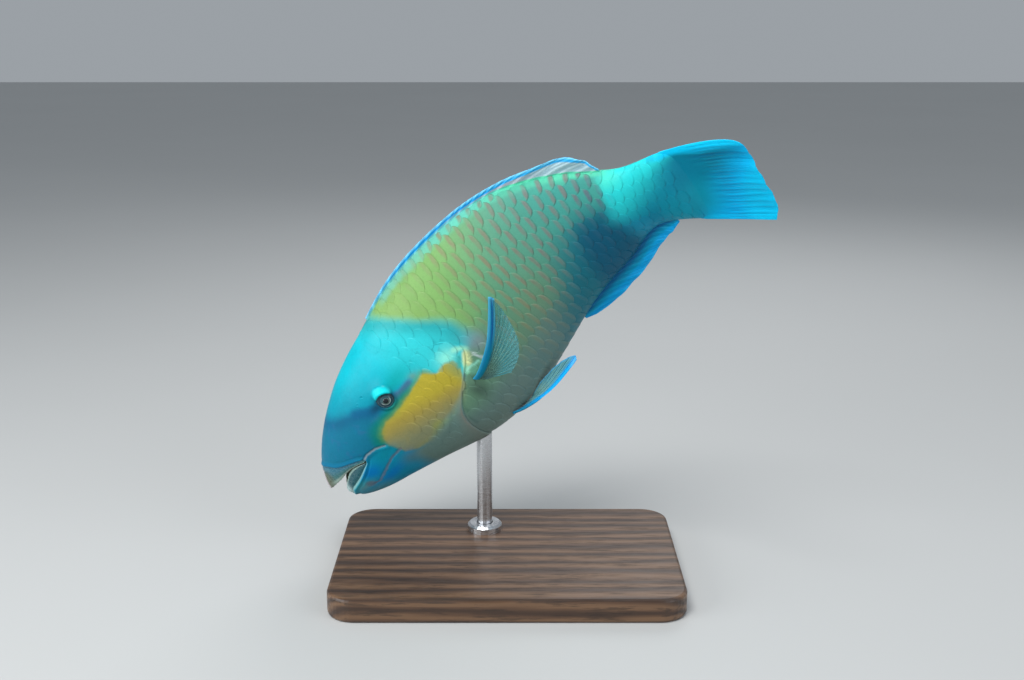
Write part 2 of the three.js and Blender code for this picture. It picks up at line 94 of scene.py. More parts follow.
def make_spine():
    P, Y, R = radians(HEAD_PITCH), radians(HEAD_YAW), radians(BANK)
    T = np.array([cos(P) * cos(Y), cos(P) * sin(Y), sin(P)])
    U = np.array([-sin(P) * cos(Y), -sin(P) * sin(Y), cos(P)])
    S = np.array([sin(Y), -cos(Y), 0.0])
    N = U * cos(R) + S * sin(R)
    L = S * cos(R) - U * sin(R)
    C = np.zeros(3)
    rows = [(C, T, N, L)]
    dt = SPINE_END / SPINE_STEPS
    side = lambda t: radians(BEND_SIDE) * float(smooth((t - BEND_SIDE_FROM) / (BEND_SIDE_TO - BEND_SIDE_FROM)))
    down = lambda t: radians(BEND_DOWN) * float(smooth((t - BEND_DOWN_FROM) / (BEND_DOWN_TO - BEND_DOWN_FROM)))
    for i in range(1, SPINE_STEPS + 1):
        t = i * dt
        kl, kv = side(t) - side(t - dt), down(t) - down(t - dt)
        Tn = unit(T + L * kl + N * kv)
        Nn = unit(N - Tn * N.dot(Tn))
        Ln = np.cross(Tn, Nn)
        C = C + (T + Tn) * dt * SL / 2
        T, N, L = Tn, Nn, Ln
        rows.append((C, T, N, L))
    out = [np.array([r[k] for r in rows]) for k in range(4)]
    k = round(SPINE_REF_T / dt)
    out[0] = out[0] + (SPINE_REF - out[0][k])
    return out


SC, ST, SN, SLft = make_spine()


def spine(t):
    t = np.asarray(t, float)
    dt = SPINE_END / SPINE_STEPS
    x = np.clip(t / dt, 0, SPINE_STEPS - 1e-6)
    i = np.floor(x).astype(int)
    u = (x - i)[..., None]
    C = SC[i] * (1 - u) + SC[i + 1] * u
    T = unit(ST[i] * (1 - u) + ST[i + 1] * u)
    N = unit(SN[i] * (1 - u) + SN[i + 1] * u)
    L = unit(SLft[i] * (1 - u) + SLft[i + 1] * u)
    C = C + T * (np.minimum(t, 0.0) * SL)[..., None]
    return C, T, N, L


def at(t, y, z):
    """Station, sideways (left > 0) and up, all in SL, to a point in the model's frame."""
    t, y, z = np.broadcast_arrays(np.asarray(t, float), np.asarray(y, float), np.asarray(z, float))
    C, T, N, L = spine(t)
    return C + L * (y * SL)[..., None] + N * (z * SL)[..., None]


def section(t, phi):
    """Height and width on the body's outline: phi 0 is the back, pi/2 the left side, pi the belly."""
    zt, zb, w = back_at(t), belly_at(t), half_w(t)
    zm = (zt + zb) / 2 + 0.05 * (zt - zb)
    c, s = np.cos(phi), np.sin(phi)
    z = zm + np.where(c > 0, (zt - zm) * c, (zm - zb) * c)
    y = w * np.sign(s) * np.abs(s) ** 1.1
    g = np.exp(-(((t - ORBIT_T) / 0.022) ** 2) - ((z - ORBIT_Z) / 0.0145) ** 2)
    y = y + np.where(np.abs(s) > 0.2, np.sign(s) * ORBIT_LIFT / SL * g, 0.0)
    return y, z


def half_width_at(t, z):
    zt, zb = back_at(t), belly_at(t)
    zm = (zt + zb) / 2 + 0.05 * (zt - zb)
    c = np.clip(np.where(z > zm, (z - zm) / (zt - zm), (zm - z) / (zm - zb)), 0, 1)
    return half_w(t) * np.sqrt(np.maximum(0, 1 - c * c)) ** 1.1


def underside_at(t, y):
    zt, zb = back_at(t), belly_at(t)
    zm = (zt + zb) / 2 + 0.05 * (zt - zb)
    s = np.clip(y / half_w(t), 0, 1) ** (1 / 1.1)
    return zm - (zm - zb) * np.sqrt(1 - s * s)


def body(t, phi):
    y, z = section(t, phi)
    return at(t, y, z)


def body_normal(t, phi):
    h, k = 0.0015, 0.006
    a = body(t + h, phi) - body(np.maximum(t - h, 0.0), phi)
    b = body(t, phi + k) - body(t, phi - k)
    return unit(np.cross(b, a))


GILL_T0, GILL_BULGE, GILL_Z, GILL_SPREAD = 0.300, 0.128, 0.03, 0.075


def gill_t(z):
    return GILL_T0 + GILL_BULGE * np.exp(-(((z - GILL_Z) / GILL_SPREAD) ** 2))


def gill_station(phi):
    t = np.full(np.shape(phi), 0.36)
    for _ in range(14):
        t = gill_t(section(t, phi)[1])
    return t


# ---------------------------------------------------------------- noise, without images
def hash3(i, j, k, seed):
    h = (i * 374761393 + j * 668265263 + k * 1442695041 + seed * 974711) & 0xFFFFFFFF
    h = ((h ^ (h >> 13)) * 1274126177) & 0xFFFFFFFF
    return ((h ^ (h >> 16)) & 0xFFFF) / 65535.0


def noise(p, scale, seed=0):
    """Smooth value noise in -1..1 at points p, with cells of 1 / scale metres."""
    q = np.asarray(p) * scale + 100.0
    i = np.floor(q).astype(np.int64)
    f = q - i
    f = f * f * (3 - 2 * f)
    out = 0.0
    for a in (0, 1):
        for b in (0, 1):
            for c in (0, 1):
                w = (f[..., 0] if a else 1 - f[..., 0]) * (f[..., 1] if b else 1 - f[..., 1]) * (f[..., 2] if c else 1 - f[..., 2])
                out = out + w * hash3(i[..., 0] + a, i[..., 1] + b, i[..., 2] + c, seed)
    return out * 2 - 1


# ================================================================ markings
def srgb(r, g, b):
    c = np.array([r, g, b]) / 255.0
    return np.where(c <= 0.04045, c / 12.92, ((c + 0.055) / 1.055) ** 2.4)


CYAN = srgb(2, 176, 192)
CYAN_PALE = srgb(50, 197, 204)
CYAN_DEEP = srgb(0, 150, 180)
# the brow's cyan, brightened partly as painted highlight
BROW_AND_HIGHLIGHT = srgb(16, 208, 216)
SNOUT = srgb(8, 102, 142)
SNOUT_TEAL = srgb(14, 122, 154)
TEAL_GREEN = srgb(0, 120, 106)
OCHRE = srgb(164, 146, 66)
OCHRE_BRIGHT = srgb(180, 164, 54)
OCHRE_GREY = srgb(126, 136, 110)
PINK_GREY = srgb(112, 106, 118)
PURPLE = srgb(76, 98, 142)
CHIN = srgb(8, 142, 178)
BLUE_DEEP = srgb(0, 128, 198)
AQUA_PALE = srgb(142, 236, 216)
CREAM = srgb(198, 208, 140)
YELLOW_GREEN = srgb(124, 168, 94)
YELLOW = srgb(134, 166, 94)
FLANK = srgb(94, 152, 124)
BACK_TEAL = srgb(64, 149, 139)
REAR_TEAL = srgb(12, 106, 124)
BELLY_GREEN = srgb(104, 140, 110)
BELLY_GREY = srgb(98, 128, 126)
THROAT = srgb(106, 130, 120)
DARK_TEAL_AND_SHADE = srgb(6, 82, 112)
TURQUOISE = srgb(36, 202, 204)
TURQUOISE_DEEP = srgb(6, 136, 158)
TAIL_TEAL = srgb(2, 122, 150)
TAIL_BLUE = srgb(0, 176, 236)
TAIL_EDGE = srgb(6, 206, 252)
MINT = srgb(84, 200, 160)


def dist_path(t, z, pts, closed=False):
    """Distance, in SL, from (t, z) to a line through points."""
    p = np.asarray(pts, float)
    if closed:
        p = np.vstack([p, p[:1]])
    best = np.full(np.shape(t), 9.0)
    for (a, b), (c, d) in zip(p[:-1], p[1:]):
        ex, ez = c - a, d - b
        u = np.clip(((t - a) * ex + (z - b) * ez) / (ex * ex + ez * ez), 0, 1)
        best = np.minimum(best, np.hypot(t - a - u * ex, z - b - u * ez))
    return best


def dist_patch(t, z, pts):
    """Signed distance to a patch's outline, in SL: below 0 inside."""
    p = np.asarray(pts, float)
    inside = np.zeros(np.shape(t), bool)
    for (a, b), (c, d) in zip(p, np.roll(p, -1, 0)):
        cross = ((b > z) != (d > z)) & (t < (c - a) * (z - b) / (d - b + 1e-12) + a)
        inside ^= cross
    d = dist_path(t, z, pts, True)
    return np.where(inside, -d, d)


def mix(a, b, m):
    m = np.asarray(m)[..., None]
    return a * (1 - m) + b * m


CHEEK = [(0.1905, 0.0359), (0.2080, 0.0427), (0.2180, 0.0412), (0.2306, 0.0402), (0.2431, 0.0408), (0.2531, 0.0420), (0.2682, 0.0448),
         (0.2857, 0.0456), (0.2982, 0.0468), (0.3108, 0.0484), (0.3233, 0.0503), (0.3333, 0.0535), (0.3409, 0.0461), (0.3459, 0.0364),
         (0.3534, 0.0287), (0.3659, 0.0313), (0.3784, 0.0319), (0.3868, 0.0268), (0.3946, 0.0204), (0.3965, 0.0078), (0.3915, -0.0054),
         (0.3815, -0.0184), (0.3680, -0.0338), (0.3460, -0.0530), (0.3115, -0.0672), (0.2690, -0.0690),
         (0.2300, -0.0705), (0.1980, -0.0590), (0.1754, -0.0413), (0.1704, -0.0209), (0.1679, -0.0020), (0.1729, 0.0155), (0.1805, 0.0279)]
MOUTH_LINE = [(0.104, 0.012), (0.1225, 0.0170), (0.1474, 0.0130), (0.1640, 0.0030)]
ROOT_CREAM = [(0.4205, 0.0066), (0.4080, -0.0066)]
ROOT_MINT = [(0.4035, -0.0014), (0.3885, -0.0197)]
ROOT_LINE = [(0.3910, -0.0196), (0.4060, -0.0192), (0.4236, -0.0210)]
# a painted highlight: short white stroke on the pectoral fin's root
ROOT_HIGHLIGHT = [(0.4311, -0.0027), (0.4361, -0.0254)]
ROOT_PALE = [(0.4115, 0.0325), (0.4262, 0.0232), (0.4305, 0.0130)]
ROOT_NOTCH = [(0.4060, 0.0142), (0.3910, 0.0007)]
ROOT_GREEN = [(0.4236, -0.0287), (0.4035, -0.0294)]
CHIN_LINE = [(0.176, -0.026), (0.150, -0.030), (0.128, -0.035), (0.105, -0.042), (0.085, -0.050), (0.074, -0.048)]
SNOUT_EDGE = curve([0.00, 0.10, 0.1228, 0.1651, 0.1997, 0.26, 0.5], [0.14, 0.1295, 0.1170, 0.1030, 0.0880, 0.062, 0.0])
HEAD_EDGE = curve([-0.10, 0.00, 0.0678, 0.1086, 0.1509, 0.1791, 0.26], [0.423, 0.461, 0.4585, 0.4300, 0.3868, 0.3465, 0.271])
BROW_T, BROW_Z = 0.2508, 0.0840                     # the bulge over the eye


def brow_off(t, z):
    """0 in the brow's middle, 1 at its edge; longest across the head."""
    dt, dz = t - BROW_T, z - BROW_Z
    return np.hypot((0.0087 * dt - 0.0126 * dz) / 2.814e-4, (0.0128 * dt + 0.0138 * dz) / 2.814e-4)


def tail_paint(col, p, t, z):
    """From the tail's root on to the fin's end: turquoise, teal, then bright blue."""
    n = noise(p, 130, 41)
    col = mix(col, TAIL_TEAL, step(t + 0.006 * n + 0.10 * np.maximum(0, -z) - 0.035 * step(z, 0.050, 0.080), 0.945, 1.030))
    out = np.abs(z - 0.003) / (0.083 + 0.08 * np.clip(t - 1.0, 0, 0.2))
    low = np.where(z > 0, 0.100, 0.046) * np.clip(-z / 0.085, -1, 1) + 0.010
    col = mix(col, srgb(8, 142, 164), 0.78 * step(-z, -0.034, 0.020) * step(t, 0.915, 0.965))
    col = mix(col, TAIL_BLUE, step(t + 0.008 * n + low + 0.02 * step(out, 0.5, 1.0), 1.045, 1.150))
    edge = np.maximum(step(t + 0.004 * n + 0.7 * low + 0.020 * step(-z, -0.03, 0.02), 1.120, 1.190), np.where(z > 0, 1.16 * step(out + 0.10 * step(t, 1.02, 1.09), 0.77, 0.92) * step(t, 0.955, 1.01), 0.35 * step(out, 0.90, 0.985) * step(t, 0.985, 1.04)))
    return mix(col, TAIL_EDGE, 0.85 * edge)


def late_root(col, wt, wz, root, near):
    """Cream and mint strokes where the pectoral fin leaves the body, and a white stroke on the fin's root that is a
    painted highlight.
    """
    col = mix(col, srgb(122, 190, 156), 0.75 * near(ROOT_GREEN, 0.0100, 0.006))
    col = mix(col, srgb(60, 168, 158), 0.80 * near(ROOT_NOTCH, 0.0045, 0.0035))
    col = mix(col, srgb(168, 240, 206), 0.80 * near(ROOT_PALE, 0.0050, 0.0045))
    col = mix(col, srgb(146, 226, 186), 0.95 * near([(t_ + 0.003, z_) for t_, z_ in ROOT_MINT], 0.0056, 0.0030))
    col = mix(col, srgb(222, 232, 168), 0.95 * near(ROOT_CREAM, 0.0084, 0.0042))
    col = mix(col, srgb(164, 236, 208), 0.90 * near(ROOT_LINE, 0.0024, 0.0016))
    # painted highlight: the near-white stroke on the fin's root
    return mix(col, srgb(226, 234, 236), 0.80 * near(ROOT_HIGHLIGHT, 0.0024, 0.0018))


def markings(p, t, z, y):
    """The fish's colours from body coordinates: station, height and sideways place, with some painted shade and
    highlight among them.
    """
    t, z, y = np.asarray(t, float), np.asarray(z, float), np.asarray(y, float)
    n1, n2 = noise(p, 90, 1), noise(p, 210, 2)
    n3 = noise(p, 620, 3)
    wt, wz = t + 0.004 * n1 + 0.0012 * n3, z + 0.004 * noise(p, 95, 5) + 0.0012 * noise(p, 600, 6)
    zt, zb = back_at(t), belly_at(t)
    up = (z - zb) / (zt - zb)                         # 0 belly, 1 back
    wu = up + 0.03 * n1
    # flank
    col = mix(FLANK, BACK_TEAL, step(wt, 0.60, 0.80))
    warm = (1 - step(wt + 0.22 * (0.75 - wu), 0.46, 0.64)) * step(wu, 0.40, 0.66)
    col = mix(col, YELLOW_GREEN, 0.92 * warm)
    col = mix(col, YELLOW, 0.5 * warm * (1 - step(wt, 0.40, 0.50)))
    col = mix(col, BELLY_GREEN, 0.8 * (1 - step(wu, 0.36, 0.60)) * (1 - step(wt, 0.60, 0.72)))
    col = mix(col, BELLY_GREY, 0.9 * (1 - step(wu, 0.18, 0.40)) * (1 - step(wt, 0.56, 0.70)))
    rear = step(wt + 0.34 * (0.5 - wu), 0.658, 0.796) * (1 - step(wu, 0.50, 0.78))
    col = mix(col, REAR_TEAL, 0.95 * rear)
    # dark teal band before the peduncle: partly the fish's own colour, partly painted shade where the body turns
    # towards the tail
    dark = step(wt + 0.10 * (0.45 - wu), 0.732, 0.79) * (1 - step(wu, 0.45 - 0.02 * step(wt, 0.78, 0.82), 0.70 - 0.05 * step(wt, 0.78, 0.82)))
    dark = np.maximum(dark, step(wt, 0.805, 0.84) * (1 - step(wu, 0.45, 0.66)))
    dark = dark * (1 - 0.75 * step(wt, 0.838, 0.885))
    col = mix(col, DARK_TEAL_AND_SHADE, 0.85 * dark)
    col = mix(col, srgb(20, 138, 170), 0.85 * step(wt, 0.838, 0.885) * (1 - step(wz, 0.00, 0.04)))
    # peduncle saddle: turquoise above, teal below; the paler tint on its upper side is partly the fish's colour and
    # partly painted highlight
    edge = 0.868 - 0.020 * (1 - step(wz, -0.02, 0.09)) + 0.10 * (1 - step(wz, -0.070, 0.005))
    soft = 0.012 + 0.034 * (1 - step(wz, -0.030, 0.045))
    saddle = step(wt, edge - soft, edge + soft)
    col = mix(col, mix(TAIL_TEAL, TURQUOISE, step(wz + 0.45 * (0.90 - wt), -0.045, 0.055)), saddle)
    # partly painted highlight: a paler tint along the saddle's upper side
    col = mix(col, mix(srgb(84, 220, 184), srgb(40, 214, 216), step(t, 0.87, 0.93)), 0.6 * saddle * step(up, 0.74, 0.94))
    # mint line along the back
    mint = step(up, 0.955, 0.986) * step(t, 0.46, 0.60) * (1 - step(t, 0.86, 0.90))
    col = mix(col, MINT, 0.8 * mint)
    col = mix(col, srgb(104, 186, 176), 0.62 * step(up + 0.003 * n3, 0.972 - 0.012 * step(t, 0.42, 0.50), 0.992) * step(t, 0.37, 0.40) * (1 - step(t, 0.62, 0.74)))
    col = np.where((t > 0.92)[..., None], tail_paint(col, p, t, z), col)
    # the head's cyan, up to its sharp edge on the shoulder
    he = HEAD_EDGE(wz)
    head = 1 - step(wt, he - 0.018, he + 0.017)
    ge = gill_t(z)
    head = head * (1 - (1 - step(wz, -0.004, 0.022)) * step(wt, ge - 0.004, ge + 0.006))
    cy = mix(CYAN, CYAN_PALE, step(t + 0.015 * n1, 0.26, 0.37))
    cy = mix(cy, srgb(40, 152, 156), 0.72 * np.exp(-((t - he + 0.016) / 0.026) ** 2) * step(z, 0.0, 0.06))
    low = wz - SNOUT_EDGE(t)
    cy = mix(cy, srgb(0, 134, 158), 0.94 * (1 - step(low, -0.01, 0.088)) * (1 - step(t, 0.25, 0.33)))
    hollow = np.exp(-((t - 0.292) / 0.040) ** 2 - ((z - 0.080) / 0.020) ** 2)
    cy = mix(cy, srgb(0, 156, 158), 0.75 * hollow)
    col = mix(col, cy, head)
    # pale skin at the gill cover's corner and the pectoral fin's root, and a painted shadow in the fin's axil
    near = lambda pts, w, soft: 1 - step(dist_path(wt, wz, pts), w - soft, w + soft)
    col = mix(col, srgb(138, 152, 160), 0.8 * np.exp(-((t - 0.456) / 0.024) ** 2 - ((z - 0.008) / 0.026) ** 2) * step(t, ge, ge + 0.01))
    col = mix(col, AQUA_PALE, 0.95 * np.exp(-((t - 0.392) / 0.020) ** 2 - ((z - 0.034) / 0.016) ** 2))
    root = step(t, 0.380, 0.392) * (1 - step(z, 0.040, 0.060))
    # painted shadow: dark grey under the pectoral fin's root, in its axil
    axil_painted_shadow = np.exp(-((t - 0.378) / 0.016) ** 2 - ((z + 0.060) / 0.030) ** 2) * step(t, ge, ge + 0.006)
    col = mix(col, srgb(52, 66, 66), 0.6 * axil_painted_shadow)
    late = lambda c: late_root(c, wt, wz, root, near)
    # underside of the head
    under = head * (1 - step(wz, -0.075, -0.035)) * step(t, 0.13, 0.19)
    col = mix(col, THROAT, 0.92 * under)
    rim = head * step(wt + 0.5 * np.maximum(0, -0.06 - z), 0.296, 0.340) * (1 - step(wz, -0.045, -0.015))
    rim = np.maximum(rim, head * (1 - step(ge - wt, 0.003, 0.011)) * (1 - step(wz, 0.000, 0.018)))
    col = mix(col, srgb(138, 126, 116), 0.66 * rim)
    throat = (1 - step(up, 0.08, 0.34)) * step(t, 0.2, 0.28) * (1 - step(t, 0.42, 0.5))
    col = mix(col, srgb(110, 130, 122), 0.8 * throat)
    # snout, darker and bluer than the forehead
    se = SNOUT_EDGE(t)
    sn = (1 - step(wz, se - 0.014, se + 0.010)) * (1 - step(wt, 0.205, 0.240)) * step(wz, -0.01, 0.012)
    sc = mix(SNOUT_TEAL * 0.82, SNOUT * 0.78, 0.8 * np.exp(-((wz - se + 0.012) / 0.016) ** 2))
    sc = mix(sc, SNOUT, 0.35 * step(n2 + 0.7 * n3, -0.1, 0.9))
    sc = mix(sc, PURPLE, 0.16 * step(n3 + 0.6 * n2, 0.35, 1.0))
    col = mix(col, sc, sn)
    # streaks through the eye
    ahead = dist_path(wt, wz, [(0.232, 0.066), (0.205, 0.076), (0.180, 0.0900)])
    col = mix(col, srgb(6, 92, 134), 0.8 * (1 - step(ahead, 0.001, 0.017)))
    behind = dist_path(wt, wz, [(0.262, 0.0610), (0.282, 0.0592), (0.303, 0.0585)])
    col = mix(col, srgb(96, 142, 130), 0.85 * np.exp(-((t - 0.318) / 0.014) ** 2 - ((z - 0.0600) / 0.008) ** 2))
    col = mix(col, CYAN_DEEP, 0.5 * (1 - step(behind, 0.006, 0.016)))
    col = mix(col, PURPLE * 0.92, 0.85 * (1 - step(behind, 0.002, 0.0110)))
    col = mix(col, srgb(8, 52, 70), 0.75 * np.exp(-((t - 0.2205) / 0.016) ** 2 - ((z - 0.0700) / 0.009) ** 2))
    ring = np.hypot(t - EYE_T, z - EYE_Z)
    col = mix(col, srgb(6, 78, 104), 0.88 * (1 - step(ring, 0.018, 0.028)) * (1 - step(z, 0.078, 0.086)))
    # ochre cheek patch with its green edge
    d = dist_patch(wt, wz, CHEEK)
    front = (1 - step(t, 0.27, 0.33))
    col = mix(col, TEAL_GREEN, 0.92 * (1 - step(d, 0.006, 0.030)) * front * step(z, -0.050, -0.010) * (1 - step(z, 0.045, 0.070)))
    oc = mix(OCHRE, OCHRE_BRIGHT, step(z + 0.4 * (t - 0.28), -0.01, 0.03))
    fade = step(-0.30 * (t - 0.25) - 1.0 * z, -0.020, 0.050)
    oc = mix(oc, OCHRE_GREY, 0.86 * fade)
    oc = mix(oc, srgb(136, 158, 104), 0.75 * step(t, 0.362, 0.388) * step(z, -0.040, -0.010))
    oc = mix(oc, srgb(150, 160, 60), 0.5 * step(n1 + 0.6 * n2, 0.0, 1.0))
    oc = mix(oc, OCHRE * 0.72, 0.16 * step(n2 + 0.5 * n3, 0.1, 1.0))
    soft = 0.004 + 0.020 * step(-z, 0.012, 0.060) * step(t, 0.20, 0.27)
    col = mix(col, oc, (1 - step(d, -soft - 0.0015, 0.35 * soft + 0.001)))
    col = mix(col, srgb(84, 142, 80), 0.60 * np.exp(-((d - 0.0010) / 0.0048) ** 2) * step(z, -0.01, 0.02) * (1 - step(t, 0.34, 0.36)))
    col = late(col)
    # mouth and chin
    chin = (1 - step(wz, -0.002, 0.012)) * (1 - step(t, 0.155, 0.20)) * step(t, 0.01, 0.04) * step(d, -0.003, 0.004)
    blue = np.exp(-((wt - 0.096) / 0.020) ** 2 - ((wz + 0.020) / 0.015) ** 2)
    blue = np.maximum(blue, np.exp(-((wt - 0.118) / 0.032) ** 2 - ((wz + 0.058) / 0.013) ** 2))
    blue = np.maximum(blue, 0.25 * np.exp(-((wt - 0.178) / 0.014) ** 2 - ((wz + 0.050) / 0.014) ** 2))
    col = mix(col, CHIN, 0.9 * chin)
    col = mix(col, srgb(6, 138, 158), 0.85 * np.exp(-((wt - 0.146) / 0.026) ** 2 - ((wz + 0.012) / 0.016) ** 2))
    col = mix(col, srgb(56, 160, 168), 0.75 * np.exp(-((wt - 0.052) / 0.026) ** 2 - ((wz + 0.030) / 0.012) ** 2))
    col = mix(col, BLUE_DEEP, 0.95 * np.clip(blue * 1.15, 0, 1))
    col = mix(col, srgb(84, 114, 118), 0.55 * np.exp(-((t - 0.172) / 0.020) ** 2 - ((z + 0.060) / 0.018) ** 2))
    col = mix(col, srgb(112, 152, 152), 0.60 * np.exp(-((t - 0.054) / 0.022) ** 2 - ((z + 0.040) / 0.008) ** 2))
    ml = dist_path(wt, wz, MOUTH_LINE)
    col = mix(col, srgb(124, 132, 136), 0.72 * (1 - step(ml, 0.0008, 0.0036)))
    cl = dist_path(wt, wz, CHIN_LINE)
    col = mix(col, PINK_GREY, 0.58 * (1 - step(cl, 0.0012, 0.0046)))
    col = mix(col, PINK_GREY, 0.6 * (1 - step(np.hypot(wt - 0.068, 0.9 * (wz + 0.043)), 0.004, 0.013)))
    col = mix(col, srgb(116, 158, 160), 0.45 * (1 - step(up, 0.10, 0.26)) * step(t, 0.02, 0.04) * (1 - step(t, 0.07, 0.12)))
    # brow over the eye: a brighter cyan, partly its own colour and partly painted highlight on the dome
    col = mix(col, BROW_AND_HIGHLIGHT, 1 - step(brow_off(t, z) + 0.05 * n3, 0.74, 1.10))
    return np.clip(col * (1 + 0.04 * n2)[..., None], 0, 1)


# ================================================================ mesh helpers
def new_mesh(name, verts, faces, uvs=None, smooth_shade=True):
    """Faces: an (n, 4) or (n, 3) array, or a list of arrays. uvs: per corner, in face order."""
    if not isinstance(faces, list):
        faces = [faces]
    if uvs is not None and not isinstance(uvs, list):
        uvs = [uvs]
    me = bpy.data.meshes.new(name)
    verts = np.asarray(verts, np.float32).reshape(-1, 3)
    me.vertices.add(len(verts))
    me.vertices.foreach_set("co", verts.ravel())
    loops = np.concatenate([np.asarray(f, np.int32).ravel() for f in faces])
    starts, totals, n = [], [], 0
    for f in faces:
        k = f.shape[1]
        starts.append(n + np.arange(len(f)) * k)
        totals.append(np.full(len(f), k))
        n += f.size
    me.loops.add(len(loops))
    me.loops.foreach_set("vertex_index", loops)
    nf = sum(len(f) for f in faces)
    me.polygons.add(nf)
    me.polygons.foreach_set("loop_start", np.concatenate(starts).astype(np.int32))
    me.polygons.foreach_set("loop_total", np.concatenate(totals).astype(np.int32))
    if uvs is not None:
        layer = me.uv_layers.new(name="OFBake")
        layer.data.foreach_set("uv", np.concatenate([np.asarray(u, np.float32).reshape(-1, 2) for u in uvs]).ravel())
    me.update(calc_edges=True)
    me.validate()
    if smooth_shade:
        me.polygons.foreach_set("use_smooth", np.ones(nf, bool))
    ob = bpy.data.objects.new(name, me)
    bpy.context.scene.collection.objects.link(ob)
    return ob


def set_float(ob, name, values):
    a = ob.data.attributes.new(name, "FLOAT", "POINT")
    a.data.foreach_set("value", np.asarray(values, np.float32).ravel())


def set_colour(ob, name, values):
    a = ob.data.attributes.new(name, "FLOAT_COLOR", "POINT")
    v = np.ones((len(ob.data.vertices), 4), np.float32)
    v[:, :3] = np.asarray(values, np.float32).reshape(-1, 3)
    a.data.foreach_set("color", v.ravel())


def grid_faces(rows, cols, wrap=False, offset=0, flip=False):
    """Quads of a rows x cols grid of vertices, and their (row, column) corners for a map."""
    i, j = np.meshgrid(np.arange(rows - 1), np.arange(cols if wrap else cols - 1), indexing="ij")
    i, j = i.ravel(), j.ravel()
    j2 = (j + 1) % cols if wrap else j + 1
    f = np.stack([i * cols + j, i * cols + j2, (i + 1) * cols + j2, (i + 1) * cols + j], -1) + offset
    r = np.stack([i, i, i + 1, i + 1], -1).astype(float)
    c = np.stack([j, j + 1, j + 1, j], -1).astype(float)
    if flip:
        f, r, c = f[:, ::-1], r[:, ::-1], c[:, ::-1]
    return f, r, c


# ================================================================ materials
def material(name):
    m = bpy.data.materials.new(name)
    m.use_nodes = True
    nt = m.node_tree
    return m, nt, nt.nodes["Principled BSDF"]


class Nodes:
    """Short names for building a node tree."""

    def __init__(self, nt):
        self.nt = nt

    def node(self, kind, **sets):
        n = self.nt.nodes.new(kind)
        for k, v in sets.items():
            setattr(n, k, v)
        return n

    def put(self, socket, v):
        if isinstance(v, bpy.types.NodeSocket):
            self.nt.links.new(v, socket)
        elif v is not None:
            socket.default_value = v

    def math(self, op, a, b=None, c=None, clamp=False):
        n = self.node("ShaderNodeMath", operation=op, use_clamp=clamp)
        for s, v in zip(n.inputs, (a, b, c)):
            self.put(s, v)
        return n.outputs[0]

    def attr(self, name, kind="Fac"):
        return self.node("ShaderNodeAttribute", attribute_name=name).outputs[kind]

    def where(self):
        return self.node("ShaderNodeTexCoord").outputs["Object"]

    def noise(self, scale, detail=3.0, rough=0.55, vec=None, dist=0.0):
        n = self.node("ShaderNodeTexNoise")
        self.put(n.inputs["Vector"], vec if vec is not None else self.where())
        n.inputs["Scale"].default_value = scale
        n.inputs["Detail"].default_value = detail
        n.inputs["Roughness"].default_value = rough
        n.inputs["Distortion"].default_value = dist
        return n.outputs["Fac"]

    def voronoi(self, scale, vec=None, feature="F1"):
        n = self.node("ShaderNodeTexVoronoi", feature=feature)
        self.put(n.inputs["Vector"], vec if vec is not None else self.where())
        n.inputs["Scale"].default_value = scale
        return n.outputs["Distance"]

    def ramp(self, fac, stops, interpolation="EASE"):
        n = self.node("ShaderNodeValToRGB")
        n.color_ramp.interpolation = interpolation
        e = n.color_ramp.elements
        while len(e) < len(stops):
            e.new(0.5)
        for el, (p, c) in zip(e, stops):
            el.position = p
            el.color = (c, c, c, 1) if not hasattr(c, "__len__") else (*c[:3], 1)
        self.put(n.inputs[0], fac)
        return n.outputs[0]

    def mix(self, fac, a, b, blend="MIX"):
        n = self.node("ShaderNodeMix", data_type="RGBA", blend_type=blend)
        self.put(n.inputs[0], fac)
        for s, v in ((n.inputs[6], a), (n.inputs[7], b)):
            if isinstance(v, bpy.types.NodeSocket):
                self.nt.links.new(v, s)
            else:
                s.default_value = (*v[:3], 1)
        return n.outputs[2]

    def bump(self, height, strength, distance, normal=None):
        n = self.node("ShaderNodeBump")
        n.inputs["Strength"].default_value = strength
        n.inputs["Distance"].default_value = distance
        self.put(n.inputs["Height"], height)
        if normal is not None:
            self.put(n.inputs["Normal"], normal)
        return n.outputs[0]


def skin_material():
    m, nt, bs = material("skin_painted")
    g = Nodes(nt)
    col = g.attr("paint", "Color")
    fine = g.noise(900.0, 4.0, 0.6)
    cloud = g.noise(160.0, 3.0, 0.5)
    col = g.mix(g.ramp(fine, [(0.35, 0.0), (0.75, 0.26)]), col, (0.60, 0.74, 0.76), "MULTIPLY")
    col = g.mix(g.ramp(cloud, [(0.45, 0.0), (0.8, 0.16)]), col, (0.70, 0.82, 0.82), "MULTIPLY")
    g.put(bs.inputs["Base Color"], col)
    g.put(bs.inputs["Roughness"], g.ramp(g.noise(350.0, 3.0), [(0.3, 0.36), (0.75, 0.52)]))
    pores = g.voronoi(1500.0)
    n1 = g.bump(g.math("MULTIPLY", pores, g.attr("bare")), 0.10, 0.0002)
    n2 = g.bump(g.noise(420.0, 4.0, 0.6), 0.16, 0.0006, n1)
    g.put(bs.inputs["Normal"], n2)
    bs.inputs["Specular IOR Level"].default_value = 0.13
    bs.inputs["Coat Weight"].default_value = 0.03
    bs.inputs["Coat Roughness"].default_value = 0.28
    return m


